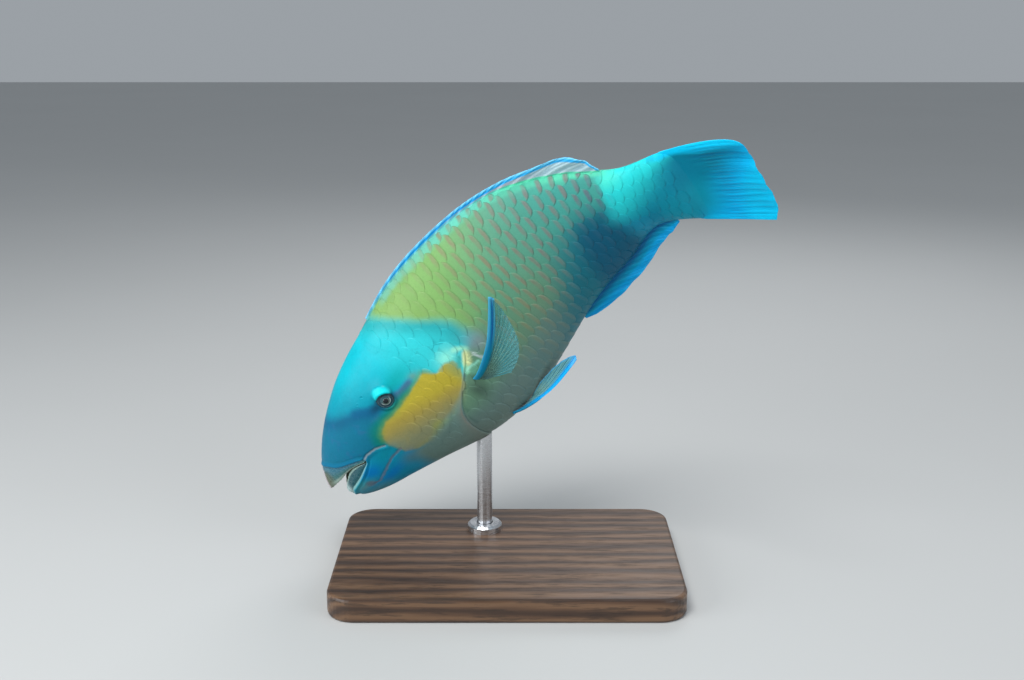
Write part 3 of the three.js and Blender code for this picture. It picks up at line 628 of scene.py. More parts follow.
def scale_material():
    m, nt, bs = material("scales")
    g = Nodes(nt)
    su, sv, rnd, bars = g.attr("su"), g.attr("sv"), g.attr("rnd"), g.attr("bars")
    col = g.attr("paint", "Color")
    # each scale a little lighter or darker than the next
    col = g.mix(g.math("MULTIPLY", rnd, 0.14), col, (0.45, 0.62, 0.62), "MULTIPLY")
    # soft pinkish bar inside the rear edge
    wob = g.math("MULTIPLY_ADD", g.noise(260.0, 2.0), 0.10, g.math("ADD", su, -0.05))
    bar = g.ramp(wob, [(0.74, 0.0), (0.85, 1.0), (0.93, 0.9), (1.0, 0.2)])
    ends = g.ramp(g.math("ABSOLUTE", sv), [(0.45, 1.0), (0.95, 0.25)])
    bar = g.math("MULTIPLY", g.math("MULTIPLY", bar, bars), g.math("MULTIPLY", ends, g.ramp(g.noise(120.0, 3.0), [(0.3, 0.45), (0.65, 0.95)])))
    barcol = g.attr("barcol", "Color")
    col = g.mix(bar, col, barcol)
    col = g.mix(g.ramp(g.noise(1100.0, 3.0, 0.6), [(0.4, 0.0), (0.8, 0.24)]), col, (0.55, 0.66, 0.68), "MULTIPLY")
    # a shaded line in each scale's root
    col = g.mix(g.ramp(su, [(0.38, 0.26), (0.50, 0.0)]), col, (0.35, 0.45, 0.48), "MULTIPLY")
    g.put(bs.inputs["Base Color"], col)
    g.put(bs.inputs["Roughness"], g.ramp(g.noise(500.0, 3.0), [(0.3, 0.33), (0.75, 0.48)]))
    # growth rings round the scale's middle
    dx = g.math("MULTIPLY", g.math("ADD", su, -0.25), 1.15)
    dz = g.math("MULTIPLY", sv, 0.62)
    r = g.math("SQRT", g.math("ADD", g.math("MULTIPLY", dx, dx), g.math("MULTIPLY", dz, dz)))
    rings = g.math("SINE", g.math("MULTIPLY", g.math("MULTIPLY_ADD", g.noise(500.0, 2.0), 0.02, r), 190.0))
    n1 = g.bump(rings, 0.10, 0.00012)
    n2 = g.bump(g.noise(700.0, 3.0), 0.12, 0.0003, n1)
    g.put(bs.inputs["Normal"], n2)
    bs.inputs["Specular IOR Level"].default_value = 0.13
    bs.inputs["Coat Weight"].default_value = 0.03
    bs.inputs["Coat Roughness"].default_value = 0.25
    return m


def fin_material(name, alpha=1.0):
    m, nt, bs = material(name)
    g = Nodes(nt)
    col = g.attr("paint", "Color")
    ray = g.attr("ray")
    col = g.mix(g.math("MULTIPLY", g.ramp(ray, [(0.0, 1.0), (0.45, 0.0)]), 0.32), col, (0.30, 0.50, 0.65), "MULTIPLY")
    col = g.mix(g.ramp(g.noise(700.0, 3.0, 0.6), [(0.4, 0.0), (0.8, 0.25)]), col, (0.60, 0.72, 0.80), "MULTIPLY")
    g.put(bs.inputs["Base Color"], col)
    g.put(bs.inputs["Roughness"], g.ramp(g.noise(400.0, 3.0), [(0.3, 0.36), (0.75, 0.5)]))
    g.put(bs.inputs["Normal"], g.bump(g.noise(900.0, 3.0), 0.10, 0.0002))
    bs.inputs["Specular IOR Level"].default_value = 0.10
    bs.inputs["Coat Weight"].default_value = 0.02
    bs.inputs["Coat Roughness"].default_value = 0.3
    bs.inputs["Alpha"].default_value = alpha
    return m


def plain_material(name, base, dark, scale, rough=(0.3, 0.5), coat=0.0, bump=0.1, depth=0.0002):
    m, nt, bs = material(name)
    g = Nodes(nt)
    n = g.noise(scale, 4.0, 0.6)
    g.put(bs.inputs["Base Color"], g.mix(g.ramp(n, [(0.3, 0.0), (0.75, 1.0)]), base, dark))
    g.put(bs.inputs["Roughness"], g.ramp(g.noise(scale * 1.7, 3.0), [(0.3, rough[0]), (0.7, rough[1])]))
    g.put(bs.inputs["Normal"], g.bump(g.noise(scale * 3, 3.0), bump, depth))
    bs.inputs["Coat Weight"].default_value = coat
    return m


SKIN, SCALES = skin_material(), scale_material()
FIN = fin_material("fin_blue")
MEMBRANE = fin_material("fin_membrane", 0.30)

# ================================================================ skin
NC = 480                            # points round a head loop
HALF = NC // 2
COAT = 0.45 * MM                    # depth of the scales over the skin

# lip loop: (angle of the column, station, angle on the body), back to belly
LIP = [(0, 0.0250, 0), (11, 0.0295, 26), (21, 0.0395, 46), (33, 0.0510, 62.5), (45, 0.0652, 72.7), (57, 0.0800, 79.4),
       (68, 0.0925, 84.4), (77, 0.1020, 88.6), (86, 0.1085, 92.3), (96, 0.1040, 95.5), (106, 0.0915, 97.6),
       (119, 0.0765, 100.5), (133, 0.0560, 105.2), (146, 0.0405, 109.6), (158, 0.0280, 117), (169, 0.0165, 142), (180, 0.0085, 180)]
lip_t = curve([a for a, _, _ in LIP], [b for _, b, _ in LIP])
lip_phi = curve([a for a, _, _ in LIP], [c for _, _, c in LIP])


def skin_columns():
    """Half the columns, back to belly: where each runs, from lip to gill edge, as (t, phi) by distance."""
    psi = (np.arange(HALF) + 0.5) / NC * 2 * pi
    deg = np.degrees(psi)
    t0, p0 = lip_t(deg), np.radians(lip_phi(deg))
    t1 = gill_station(psi)
    f = np.linspace(0, 1, 500)[:, None]
    g = f ** 1.25
    T = t0 + (t1 - t0) * g
    F = p0 + (psi - p0) * (1 - (1 - f) ** 2.2)
    P = body(T, F)
    d = np.linalg.norm(np.diff(P, axis=0), axis=-1)
    d = np.vstack([np.zeros((1, HALF)), np.cumsum(d, 0)])
    return psi, T, F, d


def head_grid():
    psi, T, F, D = skin_columns()
    first = np.arange(0, 15) * 0.33 * MM                     # close rows over the lip
    rows = 178
    out_t, out_f, out_d = np.zeros((len(first) + rows, HALF)), np.zeros((len(first) + rows, HALF)), np.zeros((len(first) + rows, HALF))
    for j in range(HALF):
        L = D[-1, j]
        s = np.concatenate([first, first[-1] + (L - first[-1]) * np.arange(1, rows + 1) / rows])
        out_t[:, j] = np.interp(s, D[:, j], T[:, j])
        out_f[:, j] = np.interp(s, D[:, j], F[:, j])
        out_d[:, j] = s
    return psi, out_t, out_f, out_d


def both(a, mirror=None):
    """Half the columns to all: the other side is the mirror image."""
    b = a[:, ::-1] if mirror is None else mirror(a[:, ::-1])
    return np.concatenate([a, b], 1)


lat = lambda t, phi: section(t, phi)          # (y, z)
EYE_Y = float(half_width_at(np.array(EYE_T), np.array(EYE_Z))) + (EYE_PROUD - EYE_R) / SL


def head_relief(t, y, z, d_lip, d_gill, amp):
    """How far the skin stands off the body's outline on the head, in metres."""
    h = np.full(np.shape(t), -0.12 * MM)
    # lips: a rounded roll, with a groove behind it
    x = d_lip / MM
    below = 1 - step(z, -0.004, 0.008)
    h += MM * ((0.24 + 0.20 * below) * np.exp(-((x - 1.15) / 0.85) ** 2) - (0.10 + 0.10 * below) * np.exp(-((x - 3.4) / 0.7) ** 2))
    h -= MM * 0.75 * (1 - step(x, 0.0, 0.55))
    # the chin rounds in under the lower plate
    h -= MM * 1.3 * (1 - step(t, 0.004, 0.034)) * (1 - step(z, -0.030, -0.012))
    # fold from the mouth's corner, and the chin's crease
    h -= 0.38 * MM * np.exp(-(dist_path(t, z, MOUTH_LINE) * SL / (0.55 * MM)) ** 2)
    h += 0.22 * MM * np.exp(-((dist_path(t, z + 0.007, MOUTH_LINE)) * SL / (1.1 * MM)) ** 2)
    h -= 0.20 * MM * np.exp(-(dist_path(t, z, CHIN_LINE) * SL / (0.7 * MM)) ** 2)
    # cheek, rising behind the mouth; preopercle margin
    r = np.hypot((t - 0.225), (z - 0.02) * 1.0)
    pre = np.exp(-(((r - 0.112) * SL) / (0.55 * MM)) ** 2) * step(t, 0.235, 0.27) * (1 - step(z, 0.045, 0.07)) * step(z, -0.115, -0.09)
    h -= 0.22 * MM * pre
    h += 0.18 * MM * np.exp(-(((r - 0.103) * SL) / (1.6 * MM)) ** 2) * step(t, 0.235, 0.27) * (1 - step(z, 0.04, 0.07))
    # nostrils: a small one in a low collar, a larger slit behind it
    for nt_, nz_, rr, dep, collar in ((0.1965, 0.0990, 0.46, 0.38, 0.12), (0.2150, 0.1035, 0.56, 0.48, 0.06)):
        q = np.hypot(t - nt_, (z - nz_) * (1.5 if rr > 0.7 else 1.0)) * SL / MM
        h -= MM * dep * (1 - step(q, rr * 0.5, rr)) - MM * collar * np.exp(-((q - rr * 1.35) / 0.35) ** 2)
    # eye: a low rim, then down past the ball
    q = np.hypot(t - EYE_T, z - EYE_Z) * SL / MM
    h += MM * 0.42 * np.exp(-((q - 4.75) / 0.62) ** 2)
    h -= MM * 0.10 * np.exp(-((q - 6.4) / 0.7) ** 2)
    bo = brow_off(t, z)
    lid = (1 - step(bo, 0.80, 0.96)) * step(q, 3.35, 3.75)
    h -= MM * 3.4 * (1 - step(q, 3.25, 4.42)) * (1 - lid)
    # brow: a round bulge whose lower edge hangs over the ball
    cap = np.sqrt(np.clip(1 - (bo / 1.08) ** 2, 0, 1))
    h += MM * 0.85 * cap * step(cap, 0.0, 0.35)
    # gill cover: a raised rim along its rear edge
    h += MM * amp * (0.07 * np.exp(-((d_gill / MM - 1.3) / 1.0) ** 2) + 0.10 * (1 - step(d_gill / MM, 0.0, 10.0)))
    h -= MM * 0.33 * (1 - amp) * (1 - step(d_gill / MM, 0.0, 15.0))
    h -= MM * amp * 0.25 * (1 - step(d_gill / MM, 0.0, 0.55))
    return h


def build_skin():
    psi, T, F, D = head_grid()
    y, z = lat(T, F)
    P, N = body(T, F), body_normal(T, F)
    d_gill = D[-1][None, :] - D
    amp_col = (1 - step(z[-1], -0.022, 0.062))                # the slit ends above the pectoral fin
    amp = np.broadcast_to(amp_col, T.shape)
    q = np.hypot(T - EYE_T, z - EYE_Z) * SL / MM
    H = head_relief(T, y, z, D, d_gill, amp)
    P = P + N * H[..., None]
    bare = 1 - step(T, 0.26, 0.30)
    col = markings(body(T, F), T, z, y)
    # inside of the eye socket painted near black as painted shade round the ball; the lips' inner edge is dark too
    col = mix(col, srgb(16, 26, 34), 1 - step(q, 3.9, 4.35))
    band = (1 - step(D / MM, 2.4, 3.6)) * step(z, 0.006, 0.016) * (1 - step(T, 0.085, 0.105))
    col = mix(col, srgb(2, 108, 146), 0.7 * band)
    rim = np.where((psi > radians(88))[None, :, None], srgb(136, 180, 178), srgb(104, 104, 108))
    m = (0.80 * (1 - step(D / MM, 0.30, 0.80)))[..., None]
    col = col * (1 - m) + rim * m
    # lining: from the lip inwards, to a closed end, painted darker the deeper it goes, as painted shade inside the
    # mouth
    lin_P, lin_c = [], []
    centre = at(0.105, 0.0, 0.004)
    inner = P[0]
    for k, (go, deep) in enumerate(((0.06, 0.6), (0.16, 1.5), (0.34, 2.4), (0.62, 3.0), (0.86, 3.2), (0.97, 3.2))):
        ring = inner + (centre - inner) * go - N[0] * (deep * MM * 0.35)
        lin_P.append(ring)
        lin_c.append(np.broadcast_to(mix(srgb(118, 126, 110), srgb(52, 56, 50), np.array([min(1, 0.25 + go)])), ring.shape))
    lin_P, lin_c = np.array(lin_P[::-1]), np.array(lin_c[::-1])

    # edge of the gill cover, folded under; low down its fold is painted dark grey-mauve, partly the edge's own pinkish
    # grey and partly painted shade in the slit
    te, fe = T[-1], F[-1]
    edge_rows, edge_c = [], []
    for back, deep in ((0.15, 0.75), (0.9, 1.0), (1.7, 1.05)):
        tt = te - amp_col * back * MM / SL + (1 - amp_col) * 0.15 * back * MM / SL
        base = body(tt, fe) - body_normal(tt, fe) * ((deep * amp_col + 0.25 * (1 - amp_col)) * MM)[..., None]
        edge_rows.append(base)
        cc = markings(body(tt, fe), tt, z[-1], y[-1])
        edge_c.append(mix(cc, srgb(78, 74, 78), 0.60 * amp_col * (1 - step(z[-1], -0.040, 0.000))))
    head_P = np.concatenate([lin_P, P, np.array(edge_rows)])
    head_c = np.concatenate([lin_c, col, np.array(edge_c)])
    head_b = np.concatenate([np.zeros((len(lin_P), HALF)), bare, np.zeros((3, HALF))])

    # trunk and tail: half as many columns
    psi2 = (np.arange(HALF // 2) + 0.5) / (HALF) * 2 * pi
    g2 = gill_station(psi2)
    z2 = section(g2, psi2)[1]
    amp2 = 1 - step(z2, -0.022, 0.062)
    start = g2 - amp2 * 1.5 * MM / SL + (1 - amp2) * 0.5 * MM / SL
    rows = 118
    u = np.linspace(0, 1, rows)[:, None]
    T2 = start + (1.0 - start) * u
    T2 = np.vstack([T2, np.broadcast_to(np.array([1.008, 1.016, 1.024, 1.031, 1.036])[:, None], (5, HALF // 2))])
    F2 = np.broadcast_to(psi2, T2.shape)
    y2, zz2 = section(np.minimum(T2, 1.0), F2)
    # the tail's end thins out over the fin's base
    thin = 1 - 0.90 * step(T2, 0.985, 1.036)
    round_end = 1 - 0.10 * step(T2, 1.0, 1.036) ** 2
    y2 = y2 * thin
    zmid = 0.006
    zz2 = zmid + (zz2 - zmid) * round_end
    P2 = at(T2, y2, zz2)
    N2 = body_normal(np.minimum(T2, 1.0), F2)
    H2 = np.full(T2.shape, -COAT)
    H2 -= (0.40 * MM) * amp2 * (1 - step((T2 - g2) * SL / MM, -0.5, 2.5))
    H2 *= 1 - 0.75 * step(T2, 1.0, 1.03)
    # fleshy root of the pectoral fin
    root = np.exp(-((T2 - 0.379) / 0.014) ** 2 - ((zz2 + 0.056) / 0.022) ** 2)
    H2 += 0.9 * MM * root
    P2 = P2 + N2 * H2[..., None]
    col2 = markings(at(T2, y2, zz2), T2, zz2, y2)
    tip2 = at(np.array(1.038), np.array(0.0), np.array(0.006))

    # mirror: the same heights with y turned over
    def side(Pl, t, f, extra):
        return Pl

    def mirrored(Pl):
        """The right side of points on the left: reflect in the local spine plane."""
        return reflect(Pl)

    HP = np.concatenate([head_P, mirrored(head_P)[:, ::-1]], 1)
    HC = np.concatenate([head_c, head_c[:, ::-1]], 1)
    HB = np.concatenate([head_b, head_b[:, ::-1]], 1)
    TP = np.concatenate([P2, reflect_at(T2, P2)[:, ::-1]], 1)
    TC = np.concatenate([col2, col2[:, ::-1]], 1)
    nh, nt2 = HP.shape[0], TP.shape[0]
    a = HP.reshape(-1, 3)
    b = TP.reshape(-1, 3)
    nA = len(a)
    pole = nA + len(b)
    verts = np.vstack([a, b, centre[None] if centre.ndim == 1 else centre, tip2[None]])
    fA, rA, cA = grid_faces(nh, NC, wrap=True)
    fB, rB, cB = grid_faces(nt2, HALF, wrap=True, offset=nA)
    uA = np.stack([0.02 + 0.56 * rA / (nh - 1), cA / NC], -1)
    uB = np.stack([0.60 + 0.37 * rB / (nt2 - 1), cB / HALF], -1)
    # join the fine loop to the coarse one
    j = np.arange(HALF)
    last = (nh - 1) * NC
    f0, f1, f2 = last + 2 * j, last + 2 * j + 1, last + (2 * j + 2) % NC
    c0, c1 = nA + j, nA + (j + 1) % HALF
    tri = np.concatenate([np.stack([f0, f1, c0], -1), np.stack([f1, c1, c0], -1), np.stack([f1, f2, c1], -1)])
    tu = np.concatenate([
        np.stack([np.full((HALF, 3), 0.0) + [0.585, 0.585, 0.595], np.stack([2 * j, 2 * j + 1, 2 * j], -1) / NC], -1),
        np.stack([np.full((HALF, 3), 0.0) + [0.585, 0.595, 0.595], np.stack([2 * j + 1, 2 * j + 2, 2 * j], -1) / NC], -1),
        np.stack([np.full((HALF, 3), 0.0) + [0.585, 0.585, 0.595], np.stack([2 * j + 1, 2 * j + 2, 2 * j + 2], -1) / NC], -1)])
    jj = np.arange(NC)
    capA = np.stack([np.full(NC, pole), (jj + 1) % NC, jj], -1)
    uCA = np.stack([np.zeros((NC, 3)) + [0.0, 0.02, 0.02], np.stack([jj + 0.5, jj + 1, jj], -1) / NC], -1)
    lb = nA + (nt2 - 1) * HALF
    j3 = np.arange(HALF)
    capB = np.stack([np.full(HALF, pole + 1), lb + j3, lb + (j3 + 1) % HALF], -1)
    uCB = np.stack([np.zeros((HALF, 3)) + [1.0, 0.97, 0.97], np.stack([j3 + 0.5, j3, j3 + 1], -1) / HALF], -1)
    ob = new_mesh("skin", verts, [fA, fB, tri, capA, capB], [uA, uB, tu, uCA, uCB])
    # the last two points: the lining's closed end, painted near black as painted shade, and the tail's tip
    set_colour(ob, "paint", np.vstack([HC.reshape(-1, 3), TC.reshape(-1, 3), srgb(20, 16, 22)[None], TURQUOISE_DEEP[None]]))
    set_float(ob, "bare", np.concatenate([HB.ravel(), np.zeros(len(b) + 2)]))
    ob.data.materials.append(SKIN)
    return ob


_C0, _T0, _N0, _L0 = [np.asarray(v) for v in spine(np.array(0.2))]


def reflect(P):
    """Mirror of points on the straight front half in the fish's middle plane."""
    s = (P - _C0) @ _L0
    return P - 2 * s[..., None] * _L0


def reflect_at(t, P):
    """Mirror in the spine's own plane at station t."""
    C, T, N, L = spine(np.minimum(t, 1.2))
    s = ((P - C) * L).sum(-1)
    return P - 2 * s[..., None] * L


skin = build_skin()

# ================================================================ scales
# arc length round the left half of a section, from the side's middle: a < 0 is up
ARC_T = np.linspace(0.10, 1.05, 191)
ARC_F = np.radians(np.linspace(0.0, 180.0, 361))
_g = body(np.minimum(ARC_T, 1.0)[:, None], ARC_F[None, :])
_d = np.concatenate([np.zeros((len(ARC_T), 1)), np.cumsum(np.linalg.norm(np.diff(_g, axis=1), axis=-1), 1)], 1)
_mid = np.array([np.interp(pi / 2, ARC_F, r) for r in _d])
ARC_A = _d - _mid[:, None]
ARC_TOP, ARC_LOW = ARC_A[:, 0], ARC_A[:, -1]
GRID_S = np.linspace(0, 1, 200)
PHI_GRID = np.array([np.interp(lo + (hi - lo) * GRID_S, a, ARC_F) for a, lo, hi in zip(ARC_A, ARC_TOP, ARC_LOW)])


def phi_of(t, a):
    """Angle on the body at station t and arc a, in metres."""
    lo, hi = np.interp(t, ARC_T, ARC_TOP), np.interp(t, ARC_T, ARC_LOW)
    s = np.clip((a - lo) / (hi - lo), 0, 1) * (len(GRID_S) - 1)
    x = np.clip((t - ARC_T[0]) / (ARC_T[1] - ARC_T[0]), 0, len(ARC_T) - 1.001)
    i, j = np.floor(x).astype(int), np.minimum(np.floor(s).astype(int), len(GRID_S) - 2)
    u, v = x - i, s - j
    return ((1 - u) * ((1 - v) * PHI_GRID[i, j] + v * PHI_GRID[i, j + 1])
            + u * ((1 - v) * PHI_GRID[i + 1, j] + v * PHI_GRID[i + 1, j + 1]))


PITCH = 6.0 * MM                     # between scales along a row
ROW_H = 9.9 * MM                     # between rows at the deepest part
row_h = lambda t: ROW_H * (1 - 0.36 * step(t, 0.50, 0.90))
NU, NV = 13, 13


def scale_sites(kind):
    """Roots of the scales on one side: station, row, size and how far they stand out."""
    out = []
    if kind == "flank":
        for k in range(-7, 8):
            t = 0.286 + (0.5 * PITCH / SL if k % 2 else 0.0)
            while t < 1.022:
                a = k * float(row_h(t)) + 0.3 * MM
                lo, hi = float(np.interp(t, ARC_T, ARC_TOP)), float(np.interp(t, ARC_T, ARC_LOW))
                h = float(row_h(t)) * 1.42
                if lo < a < hi:
                    ph = float(phi_of(np.array(t), np.array(a)))
                    z = float(section(np.array(t), np.array(ph))[1])
                    g = float(gill_t(z))
                    slit = 1 - float(step(np.array(z), 0.045, 0.085))
                    # rooted under the gill cover, or running on up the nape
                    first = g - 6.0 * MM / SL if slit > 0.5 else 0.275 + 0.10 * max(0.0, 0.13 - z)
                    if t > first:
                        lead = 1.0 if slit <= 0.5 and t - first < 1.02 * PITCH / SL else 0.0
                        out.append((t, a, 11.6 * MM * (1 - 0.22 * float(step(np.array(t), 0.75, 1.0))), h, 1.0, k, slit, g, lead))
                t += PITCH / SL * (1 - 0.10 * float(step(np.array(t), 0.8, 1.0)))
    else:
        pitch, hh = 5.4 * MM, 7.2 * MM
        for k in range(-6, 9):
            t = 0.196 + (0.5 * pitch / SL if k % 2 else 0.0)
            while t < 0.44:
                a = k * hh + 1.0 * MM
                lo, hi = float(np.interp(t, ARC_T, ARC_TOP)), float(np.interp(t, ARC_T, ARC_LOW))
                if lo < a < hi:
                    ph = float(phi_of(np.array(t), np.array(a)))
                    z = float(section(np.array(t), np.array(ph))[1])
                    g = float(gill_t(z))
                    far = np.hypot(t - EYE_T, z - EYE_Z) * SL / MM
                    ok = far > 11.5 and z < 0.088 and z > -0.118 and t > 0.205 + 0.9 * max(0.0, z - 0.02) and t + 9.6 * MM / SL * 0.93 < g - 1.6 * MM / SL
                    if ok:
                        out.append((t, a, 9.2 * MM, hh * 1.40, 0.42, k, 0.0, g, 0.0))
                t += pitch / SL
    return np.array(out)


def scale_shape():
    """One scale: (su, sv) grid with a rounded rear edge, and its rise over the skin."""
    u = np.concatenate([np.linspace(0, 1, NU - 2) ** 0.85, [1.0, 1.0]])
    v = np.linspace(-1, 1, NV)
    U, Vv = np.meshgrid(u, v, indexing="ij")
    rear = (1 - np.abs(Vv * 0.985) ** 2.7) ** (1 / 2.3)
    reach = 0.42 + 0.58 * rear
    X = U * reach
    wide = 0.62 + 0.38 * np.minimum(1, np.sin(np.clip(X / 0.62, 0, 1) * pi / 2))
    Yv = Vv * wide
    lift = -0.42 + 0.95 * X ** 0.9 - 0.30 * np.abs(Vv) ** 3.5
    lift[-2] -= 0.12
    lift[-1] -= 0.52
    return X, Yv, lift


SX, SY, SLIFT = scale_shape()


def build_scales(name, kind, sgn, mats):
    sites = scale_sites(kind)
    n = len(sites)
    t0, a0, length, height, out, row, slit, g, lead = sites.T
    jit = rng.normal(0, 1, (n, 4))
    a_lo, a_hi = a0 - height / 2, a0 + height / 2
    lo, hi = np.interp(t0, ARC_T, ARC_TOP), np.interp(t0, ARC_T, ARC_LOW)
    a_lo, a_hi = np.maximum(a_lo, lo - 0.05 * MM), np.minimum(a_hi, hi + 0.05 * MM)
    ok = (a_hi - a_lo) > 0.30 * height
    t0, a0, length, height, out, row, slit, g, lead, a_lo, a_hi, jit = (v[ok] for v in (t0, a0, length, height, out, row, slit, g, lead, a_lo, a_hi, jit))
    n = len(t0)
    skew = 0.10 * (SY[None] * 0.5) * (height / length)[:, None, None]
    X = SX[None] * (1 + 0.03 * jit[:, 0])[:, None, None]
    T = t0[:, None, None] + (X * length[:, None, None]) / SL + 0.0 * skew
    A = (a_lo + a_hi)[:, None, None] / 2 + SY[None] * (a_hi - a_lo)[:, None, None] / 2
    # rows close up towards the tail
    A = A * (row_h(T) / row_h(t0)[:, None, None]) if kind == "flank" else A
    Tc = np.minimum(T, 1.045)
    F = phi_of(np.minimum(Tc, 1.0), A)
    y, z = section(np.minimum(Tc, 1.0), F)
    thin = 1 - 0.90 * step(Tc, 0.985, 1.036)
    zs = 0.006 + (z - 0.006) * (1 - 0.10 * step(Tc, 1.0, 1.036) ** 2)
    ys = y * thin
    lift = SLIFT[None] * (1 + 0.10 * jit[:, 1])[:, None, None]
    amount = 0.31 * out[:, None, None] * (1 - 0.62 * step(Tc, 0.80, 0.92)) * (1 - 0.62 * (1 - step(Tc, 0.38, 0.52)) * step(z, 0.02, 0.08))
    smooth_root = np.exp(-((Tc - 0.425) / 0.040) ** 2 - ((z - 0.004) / 0.036) ** 2)
    amount = amount * (1 - 0.75 * smooth_root)
    N = body_normal(np.minimum(Tc, 1.0), F)
    if kind == "flank":
        nape = (1 - step(z, 0.020, 0.090))
        nape = (1 - nape) * step((gill_station(F) - Tc) * SL / MM, -1.0, 14.0)
        base = -COAT + 0.10 * MM + (0.31 - 0.06 * (1 - step(Tc, 0.30, 0.36))) * MM * nape
        base = base - (0.70 - 0.50 * step(z, -0.022, 0.062)) * MM * slit[:, None, None] * (1 - step((Tc - gill_t(z)) * SL / MM, -0.8, 2.8))
        base = base - 0.22 * MM * lead[:, None, None] * (1 - step(SX[None], 0.0, 0.36))
        root = np.exp(-((Tc - 0.379) / 0.014) ** 2 - ((z + 0.056) / 0.022) ** 2)
        base = base + 0.9 * MM * root
    else:
        base = -0.12 * MM
    P = at(Tc, ys, zs) + N * (base + lift * amount * MM)[..., None]
    pcol = markings(at(Tc, ys, zs), Tc, zs, ys)
    # the scale's middle gives it most of its colour, as real scales are one colour each
    mid = pcol[:, NU // 2 + 1, NV // 2][:, None, None, :]
    keep = (0.45 if kind == "flank" else 0.15) * np.ones_like(Tc)[..., None]
    if kind == "flank":
        keep = keep * (0.10 + 0.90 * step(Tc, 0.47, 0.52))[..., None] * (1 - 0.6 * step(Tc, 0.80, 0.86))[..., None]
    pcol = pcol * (1 - keep) + mid * keep
    up = (zs - belly_at(np.minimum(Tc, 1.0))) / (back_at(np.minimum(Tc, 1.0)) - belly_at(np.minimum(Tc, 1.0)))
    bars = step(Tc, 0.36, 0.50) * (1 - step(Tc, 0.84, 0.885))
    he = HEAD_EDGE(zs)
    bars = bars * step(Tc, he, he + 0.03)
    bars = bars * (0.30 + 0.70 * step(up, 0.12, 0.45)) * (0.30 + 0.70 * step(Tc, 0.44, 0.60))
    bars = bars * (1 - 0.85 * step(Tc + 0.2 * (0.5 - up), 0.68, 0.78) * (1 - step(up, 0.5, 0.8)))
    pink = mix(srgb(132, 130, 98), srgb(114, 118, 114), step(Tc, 0.52, 0.74))
    pink = mix(pink, srgb(74, 94, 116), 0.85 * step(Tc - 0.16 * (up - 0.5), 0.72, 0.82))
    if sgn < 0:
        P = reflect_at(np.minimum(Tc, 1.2), P)
    k = NU * NV
    f, r, c = grid_faces(NU, NV, flip=(sgn < 0))
    faces = (f[None] + (np.arange(n) * k)[:, None, None]).reshape(-1, 4)
    # each scale's own cell on the unwrapped body: no two cells meet
    span = (1.05 - 0.15)
    uc = (t0 - 0.15) / span + 0.25 * PITCH / SL / span
    rows_n = 16.0
    vc = (row + 8.0) / rows_n
    cu, cv = 0.86 * (PITCH if kind == "flank" else 5.4 * MM) / SL / span, 0.86 / rows_n
    uu = uc[:, None, None] + (r / (NU - 1) - 0.5)[None] * cu
    vv = vc[:, None, None] + (c / (NV - 1) - 0.5)[None] * cv
    uv = np.stack([uu, vv], -1).reshape(-1, 2)
    ob = new_mesh(name, P.reshape(-1, 3), faces, uv)
    set_colour(ob, "paint", pcol.reshape(-1, 3))
    set_colour(ob, "barcol", pink.reshape(-1, 3))
    set_float(ob, "bars", bars)
    set_float(ob, "su", np.maximum(SX[None], 0.52 * lead[:, None, None]))
    set_float(ob, "sv", np.broadcast_to(SY[None], T.shape))
    set_float(ob, "rnd", np.broadcast_to(rng.random(n)[:, None, None] * (1.0 if kind == "flank" else 0.35), T.shape))
    ob.data.materials.append(mats)
    return ob


coats = [build_scales("scales_flank_left", "flank", 1, SCALES), build_scales("scales_flank_right", "flank", -1, SCALES),
         build_scales("scales_head_left", "head", 1, SCALES), build_scales("scales_head_right", "head", -1, SCALES)]

# ================================================================ beak
UPPER_CUT = [(0, -0.0042, 0.0, 0.0036), (0.10, 0.0056, 0.0142, 0.0066), (0.22, 0.0234, 0.0275, 0.0100), (0.33, 0.0389, 0.0340, 0.0108),
             (0.47, 0.0553, 0.0398, 0.0136), (0.60, 0.0717, 0.0463, 0.0141), (0.74, 0.0853, 0.0522, 0.0123), (0.86, 0.0950, 0.0562, 0.0100), (1.0, 0.1042, 0.0595, 0.0073)]
LOWER_CUT = [(0, 0.0127, 0.0, -0.0285), (0.12, 0.0215, 0.0120, -0.0183), (0.25, 0.0345, 0.0240, -0.0072), (0.36, 0.0484, 0.0330, 0.0017),
             (0.47, 0.0609, 0.0390, 0.0076), (0.60, 0.0736, 0.0445, 0.0095), (0.73, 0.0850, 0.0495, 0.0080), (0.86, 0.0949, 0.0545, 0.0059), (1.0, 0.1035, 0.0590, 0.0040)]


